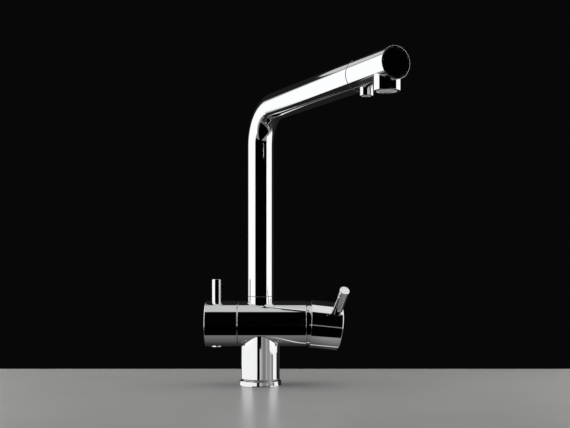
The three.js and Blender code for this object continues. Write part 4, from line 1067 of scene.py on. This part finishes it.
class TAP_OT_fixing(Operator):
    """Base ring, its seal, the threaded shank with washers and nut, the inlets and the retaining screw"""

    bl_idname = "tap.fixing"
    bl_label = "Fixing"

    def execute(self, context):
        f, b = context.scene.tap_fixing, context.scene.tap_body
        column = Axis((0, 0, 0))
        ring = [
            (0, f.flange_radius, 0.3 * MM), (f.flange_height, f.ring_radius, 0.5 * MM),
            (f.ring_height, f.ring_radius, 0.6 * MM), (f.ring_height, f.ring_bore), (0, f.ring_bore),
            (0, f.groove_inner), (f.groove_height, f.groove_inner), (f.groove_height, f.groove_outer),
            (0, f.groove_outer),
        ]
        turned("base_ring", column, rounded(ring, closed=True), "chrome", "body")
        seal = washer(0, f.gasket_height, f.gasket_inner, f.gasket_outer, 0.3 * MM)
        turned("base_gasket", column, seal, "rubber", "body")
        rubber = washer(f.rubber_low, f.rubber_high, f.ring_bore, f.washer_radius, 0.5 * MM)
        turned("deck_washer_rubber", column, rubber, "rubber", "body")
        steel = washer(f.steel_low, f.steel_high, f.ring_bore, f.washer_radius, 0.3 * MM)
        turned("deck_washer_steel", column, steel, "steel", "body")
        self.shank(f, column)
        self.nut(f, column)
        for name, degrees in (("inlet_hot", 60), ("inlet_cold", -60), ("inlet_filtered", 180)):
            angle = math.radians(degrees)
            place = Axis((f.inlet_circle * math.cos(angle), f.inlet_circle * math.sin(angle), 0))
            sleeve = washer(f.inlet_low, f.inlet_high, f.inlet_bore, f.inlet_radius, 0.3 * MM)
            turned(name, place, sleeve, "brass", "body")
        behind = Axis((0, 0, b.screw_height), (0, 1, 0), ALONG)
        socket_screw("spout_retaining_screw", behind, b, "body")
        return {"FINISHED"}

    def shank(self, f, column):
        """Threaded tube, plain at both ends, with a chamfer inside its lower end."""
        heights, wave = helix(f.shank_low + f.pitch, f.shank_high - f.pitch, f.pitch, 6)
        root, plain, edge = f.shank_radius - f.thread_depth, 0.8 * MM, 0.3 * MM
        rows = [
            (f.shank_low, f.shank_bore + edge), (f.shank_low, root), (f.shank_low + plain, root),
            *zip(heights, root + f.thread_depth * np.minimum(wave * 1.2, 1)),
            (f.shank_high - plain, root), (f.shank_high, root), (f.shank_high, f.shank_bore),
            (f.shank_low + edge, f.shank_bore), (f.shank_low, f.shank_bore + edge),
        ]
        dress("threaded_shank", [ringed(column, rows)], "brass", "body", crease=math.radians(50))

    def nut(self, f, column):
        """Hexagon nut. Its corners are cut by a cone of 30 degrees at both faces."""
        flat, face = hexagon(TURNS, f.nut_flats / 2), f.nut_flats / 2 * 0.98
        fall = (flat - face) * math.tan(math.radians(30))
        low, high, bore, edge = f.nut_low, f.nut_high, f.ring_bore, 0.5 * MM
        rows = [
            (low + edge, bore), (low, bore + edge), (low, face), (low + fall, flat), (high - fall, flat),
            (high, face), (high, bore + edge), (high - edge, bore), (low + edge, bore),
        ]
        dress("fixing_nut", [ringed(column, rows)], "brass", "body", crease=math.radians(20))


NODE_SLOTS = {
    "brass": "spout_spigot cartridge_nut mixer_stem filter_valve_body filter_spindle",
    "steel": "stem_pivot_pin",
    "rubber": "spout_o_ring_lower spout_o_ring_upper aerator_seal cartridge_seal filter_valve_o_ring",
    "plastic": "swivel_bush filtered_water_tube aerator filtered_insert cartridge_base cartridge_housing "
    "cartridge_rotor",
    "ceramic": "ceramic_disc_fixed ceramic_disc_moving filter_disc_fixed filter_disc_turning",
}


class TAP_OT_inner_pieces(Operator):
    """Finishes of the pieces inside, which keep their solids"""

    bl_idname = "tap.inner_pieces"
    bl_label = "Inner pieces"

    def execute(self, context):
        for slot, names in NODE_SLOTS.items():
            for name in names.split():
                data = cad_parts[name].data
                data.materials.clear()
                data.materials.append(finish(slot))
        return {"FINISHED"}


# ------------------------------------------------------------
# Studio


def ramp(graph, value, low, high, first=0.0, second=1.0, kind="SMOOTHSTEP"):
    """Value that goes from the first number to the second while the given one goes from low to high."""
    sockets = {"Value": value, "From Min": low, "From Max": high, "To Min": first, "To Max": second}
    return graph.add("MapRange", {"interpolation_type": kind}, sockets)


def coordinates(graph, source):
    """The three parts of a vector, or of a UV map's place."""
    outputs = graph.add("SeparateXYZ", {}, {0: source}).socket.node.outputs
    return [Value(graph, output) for output in outputs]


def card(name, corners, material, seen_by_diffuse=True):
    """Flat card that the camera doesn't see and that casts no shadow."""
    mesh = bpy.data.meshes.new(name)
    mesh.from_pydata(corners, [], [range(len(corners))])
    if len(corners) == 4:
        mesh.uv_layers.new(name="across").data.foreach_set("uv", [0, 0, 1, 0, 1, 1, 0, 1])
    mesh.materials.append(material)
    piece = placed(name, mesh)
    piece.visible_camera = False
    piece.visible_shadow = False
    piece.visible_diffuse = seen_by_diffuse


def soft_light(name, light, fades=(), change=None):
    """Light of a panel. It fades in over the given shares of its first and second side, and out over the
    others. With a change, (from, to, light), it differs along the first side."""
    material = bpy.data.materials.new(name)
    graph = Graph(material)
    u, v, _ = coordinates(graph, graph.add("UVMap", {"uv_map": "across"}))
    strength = ramp(graph, u, *change[:2], light, change[2]) if change else light
    for way, share in zip((u, 1 - u, v, 1 - v), fades):
        if share:
            strength = ramp(graph, way, 0.0, share) * strength
    graph.end(graph.emission(strength))
    return material


# What polished metal sees of the worktop from above, as painted reflection: the way across (x) or back (y)
# in metres at which the light starts to change and stops, and the light at both
FRONT_EDGE = (-0.054, -0.050, 0.0, 1.0)
FRONT_FADE = (-0.055, 0.035, 0.17, 0.028)
RIGHT_GAIN = (0.05, 0.08, 1.0, 1.7)
BACK_LOSS = (0.165, 0.18, 1.0, 0.45)
SIDE_LIGHT = (0.25, 0.32, 0.0, 0.25)
SIDE_BACK = (0.165, 0.18, 1.0, 0.0)
PAINTED_GLINT_LINE = (0.005, 0.055, -0.039, 0.014)  # from x to the y of a painted glint, a bright streak under the mixer end
PAINTED_GLINT_WIDTH = (0.0, 0.006, 0.85, 0.0)
PAINTED_GLINT_START = (0.0, 0.04, 0.0, 1.0)
GLANCE = (0.875, 0.8875)  # facing of the look between which it turns from steep to grazing


def painted_deck_reflection(name, grazing):
    """Painted reflection of the worktop, for polished metal to mirror: a glow that stands for its gloss at a
    grazing angle, and from above a dark top with painted light behind the body's front, beside a painted
    streak under the mixer end and at its far sides. Clear from below."""
    material = bpy.data.materials.new(name)
    graph = Graph(material)
    x, y, _ = coordinates(graph, graph.add("TexCoord", output=3))
    lit = ramp(graph, y, *FRONT_EDGE) * ramp(graph, y, *FRONT_FADE)
    lit = lit * ramp(graph, x, *RIGHT_GAIN) * ramp(graph, y, *BACK_LOSS)
    beside = abs(y - ramp(graph, x, *PAINTED_GLINT_LINE))
    lit = lit + ramp(graph, beside, *PAINTED_GLINT_WIDTH) * ramp(graph, x, *PAINTED_GLINT_START)
    lit = lit + ramp(graph, abs(x), *SIDE_LIGHT) * ramp(graph, y, *SIDE_BACK)
    glance = ramp(graph, graph.add("LayerWeight", {}, {"Blend": 0.5}, output=1), *GLANCE)
    shader = graph.emission(glance * grazing + (1 - glance) * lit)
    behind = graph.add("NewGeometry", output="Backfacing")
    clear = graph.add("BsdfTransparent")
    graph.end(graph.add("MixShader", {}, {0: behind, 1: shader, 2: clear}))
    return material


def upright(x, front, back, low, high):
    """Corners of an upright card at x, from front to back."""
    return [(x, front, low), (x, back, low), (x, back, high), (x, front, high)]


def level(height, *corners):
    return [(x, y, height) for x, y in corners]


CEILING = 0.95  # height of the panels overhead
# Corners, light, shares of the four sides that fade, change along the first side, whether seen by diffuse
PANELS = {
    "light_left": (upright(-0.42, -0.408, 0.44, -0.11, 0.9), 1.1, (0, 0.165, 0.139, 0.05), None, True),
    "light_right": (upright(0.42, -0.284, 0.213, -0.11, 0.9), 1.1, (0, 0.04, 0.139, 0.05), None, True),
    "light_above": (
        level(CEILING, (-0.5, -0.47), (0.5, -0.47), (0.5, 0.30), (-0.5, 0.30)),
        0.58, (0.04, 0.04, 0.05, 0.05), (0.6, 0.75, 0.8), True,
    ),
    "light_behind": (
        level(CEILING, (-1.3, 0.25), (-0.13, 0.40), (-0.21, 0.95), (-1.3, 0.34)), 0.6, (), None, False
    ),
    # Glowing strip on the worktop, seen only in reflections: a painted reflection, no lamp
    "painted_glow_strip": (
        level(1.2 * MM, (-0.107, 0.19), (-0.037, 0.19), (-0.242, 0.60), (-0.312, 0.60)), 0.2, (), None, False
    ),
}
PAINTED_REFLECTION_HEIGHT = 0.6 * MM
PAINTED_REFLECTION_ROOT = 0.98  # share of the pedestal's radius at which the wedges start
WEDGE_STEP = 30.0  # degrees between the corners of a wide wedge
# Wedges of painted reflection, where a light of 0 paints a dark reflection: first and last way from the
# pedestal in degrees from the camera's side, inner and outer reach, and light
PAINTED_REFLECTION_WEDGES = (
    (-150.0, -18.3, 0.0, 1.5, 1.0),
    (-18.3, -3.4, 0.0, 0.54, 0.0),
    (-3.4, 6.5, 0.0, 0.54, 0.5),
    (-18.3, 6.5, 0.54, 1.5, 0.0),
    (6.5, 13.5, 0.0, 1.5, 0.36),
    (13.5, 32.7, 0.0, 1.5, 0.21),
    (32.7, 40.2, 0.0, 1.5, 0.42),
    (40.2, 57.0, 0.0, 1.5, 0.29),
    (57.0, 71.5, 0.0, 1.5, 0.41),
    (71.5, 81.5, 0.0, 1.5, 0.16),
    (81.5, 111.0, 0.0, 1.5, 1.0),
    (111.0, 210.0, 0.0, 0.6, 0.02),
)
ROOM_TILT = 0.1  # how far from level, as a share, the room's light changes
DARK_ROOM, LIT_ROOM = 0.0005, 0.013  # what metal sees of the room towards the camera and behind the tap
BACKDROP = 0.0025
ROOM_LIGHT = 0.3  # on what is not polished
PICTURE_WIDTH, FOCAL_LENGTH, RISE = 570, 950, 63.2  # in pixels, the last how far the picture is shifted up
SENSOR = 36.0


class TAP_OT_studio(Operator):
    """Worktop, panels of light, world and camera"""

    bl_idname = "tap.studio"
    bl_label = "Studio"

    def execute(self, context):
        scene = context.scene
        self.worktop()
        for name, (corners, light, fades, change, diffuse) in PANELS.items():
            card(name, corners, soft_light(name, light, fades, change), diffuse)
        # Cards of painted reflection over the worktop, seen only by polished metal
        self.sheen(scene.tap_body.pedestal_radius)
        scene.world = bpy.data.worlds.new("tap_studio")
        graph = Graph(scene.world)
        outputs = graph.add("LightPath").socket.node.outputs
        kinds = "Camera", "Glossy", "Transmission"
        seen, glossy, sent = (Value(graph, outputs[f"Is {kind} Ray"]) for kind in kinds)
        glossy = glossy + sent
        _, backwards, _ = coordinates(graph, graph.add("TexCoord", output=0))
        room = ramp(graph, backwards, -ROOM_TILT, ROOM_TILT, DARK_ROOM, LIT_ROOM, "LINEAR")
        light = seen * BACKDROP + glossy * room + (1 - seen) * (1 - glossy) * ROOM_LIGHT
        back = graph.add("Background", {}, {"Color": (1, 1, 1, 1), "Strength": light})
        graph.end(back, "World")

        camera = bpy.data.cameras.new("tap_camera")
        camera.sensor_width = SENSOR
        camera.lens = FOCAL_LENGTH / PICTURE_WIDTH * SENSOR
        camera.shift_y = RISE / PICTURE_WIDTH
        camera.clip_start, camera.clip_end = 0.01, 20.0
        scene.camera = placed("tap_camera", camera)
        scene.camera.location = (0.0263, -1.021, 0.116)
        scene.camera.rotation_euler = (math.pi / 2, 0, 0)
        scene.view_settings.view_transform = "Standard"
        return {"FINISHED"}

    def sheen(self, radius):
        """Painted reflections of the worktop round the pedestal: glowing wedges, set by what they show at a
        grazing angle;
        a wedge with no light is a painted dark reflection. A wedge lies between two ways that the pedestal
        sends a look
        from the camera: from start = radius (sin half, -cos half) towards (sin way, -cos way), where half is
        half the way's angle. The last one also covers the strip behind the pedestal."""
        for number, (first, second, begin, end, light) in enumerate(PAINTED_REFLECTION_WEDGES):
            ways = np.radians(np.linspace(first, second, 2 + int((second - first) / WEDGE_STEP)))
            start = radius * PAINTED_REFLECTION_ROOT * np.array([np.sin(ways / 2), -np.cos(ways / 2)]).T
            away = np.array([np.sin(ways), -np.cos(ways)]).T
            inner, outer = start + begin * away, start + end * away
            if number == len(PAINTED_REFLECTION_WEDGES) - 1:
                inner, outer = (np.vstack([edge, edge[-1] - 2 * start[-1]]) for edge in (inner, outer))
            name = f"sheen_{number}"
            corners = level(PAINTED_REFLECTION_HEIGHT, *inner[::-1], *outer)
            card(name, corners, painted_deck_reflection(name, light), seen_by_diffuse=False)

    def worktop(self):
        """Pale slab, clamped between the base ring and the washers: a rounded profile carried round a
        rectangle."""
        low, high, edge, middle = -9.9 * MM, -0.05 * MM, 1.5 * MM, 0.3
        t = np.linspace(0, math.pi / 2, 5)
        inset = np.concatenate([[middle], edge * (1 - np.sin(t)), edge * (1 - np.cos(t)), [middle]])
        height = np.concatenate([[low], low + edge * (1 - np.cos(t)), high - edge * (1 - np.sin(t)), [high]])
        left, right, front, back = -0.55, 0.6, -0.62, 0.183
        square = [[left, front, 1, 1], [right, front, -1, 1], [right, back, -1, -1], [left, back, 1, -1]]
        square = np.array([*square, square[0]])
        plan = square[None, :, :2] + inset[:, None, None] * square[None, :, 2:]
        points = np.concatenate([plan, np.broadcast_to(height[:, None, None], plan.shape[:2] + (1,))], -1)
        index = np.arange(points.shape[0] * 5).reshape(-1, 5)
        quads = np.stack([index[:-1, :-1], index[:-1, 1:], index[1:, 1:], index[1:, :-1]], -1).reshape(-1, 4)
        faces = [*quads.tolist(), index[-1, :4].tolist(), index[0, 3::-1].tolist()]
        mesh = bpy.data.meshes.new("worktop")
        mesh.from_pydata(points.reshape(-1, 3), [], faces)
        mesh.materials.append(finish("worktop"))
        placed("worktop", mesh)


# ------------------------------------------------------------
# Add-on

SIZE_GROUPS = (
    ("tap_spout", SpoutSizes),
    ("tap_outlets", OutletSizes),
    ("tap_body", BodySizes),
    ("tap_mixer", MixerSizes),
    ("tap_knob", KnobSizes),
    ("tap_fixing", FixingSizes),
    ("tap_finishes", Finishes),
)
OPERATORS = (
    TAP_OT_studio,
    TAP_OT_spout,
    TAP_OT_outlets,
    TAP_OT_body,
    TAP_OT_mixer,
    TAP_OT_knob,
    TAP_OT_fixing,
    TAP_OT_inner_pieces,
)


class TAP_PT_pieces(Panel):
    """Lists the tap's pieces and their sizes"""

    bl_idname = "TAP_PT_pieces"
    bl_label = "Tap"
    bl_space_type = "VIEW_3D"
    bl_region_type = "UI"
    bl_category = "Tap"

    def draw(self, context):
        for operator in OPERATORS:
            self.layout.operator(operator.bl_idname)
        for name, group in SIZE_GROUPS:
            box = self.layout.box()
            for size in group.__annotations__:
                box.prop(getattr(context.scene, name), size)


def register():
    for name, group in SIZE_GROUPS:
        bpy.utils.register_class(group)
        setattr(bpy.types.Scene, name, PointerProperty(type=group))
    for operator in OPERATORS:
        bpy.utils.register_class(operator)
    bpy.utils.register_class(TAP_PT_pieces)


def unregister():
    bpy.utils.unregister_class(TAP_PT_pieces)
    for operator in reversed(OPERATORS):
        bpy.utils.unregister_class(operator)
    for name, group in reversed(SIZE_GROUPS):
        delattr(bpy.types.Scene, name)
        bpy.utils.unregister_class(group)


def main():
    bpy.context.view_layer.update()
    register()
    for operator in OPERATORS:
        group, name = operator.bl_idname.split(".")
        getattr(getattr(bpy.ops, group), name)()


if __name__ == "__main__":
    main()
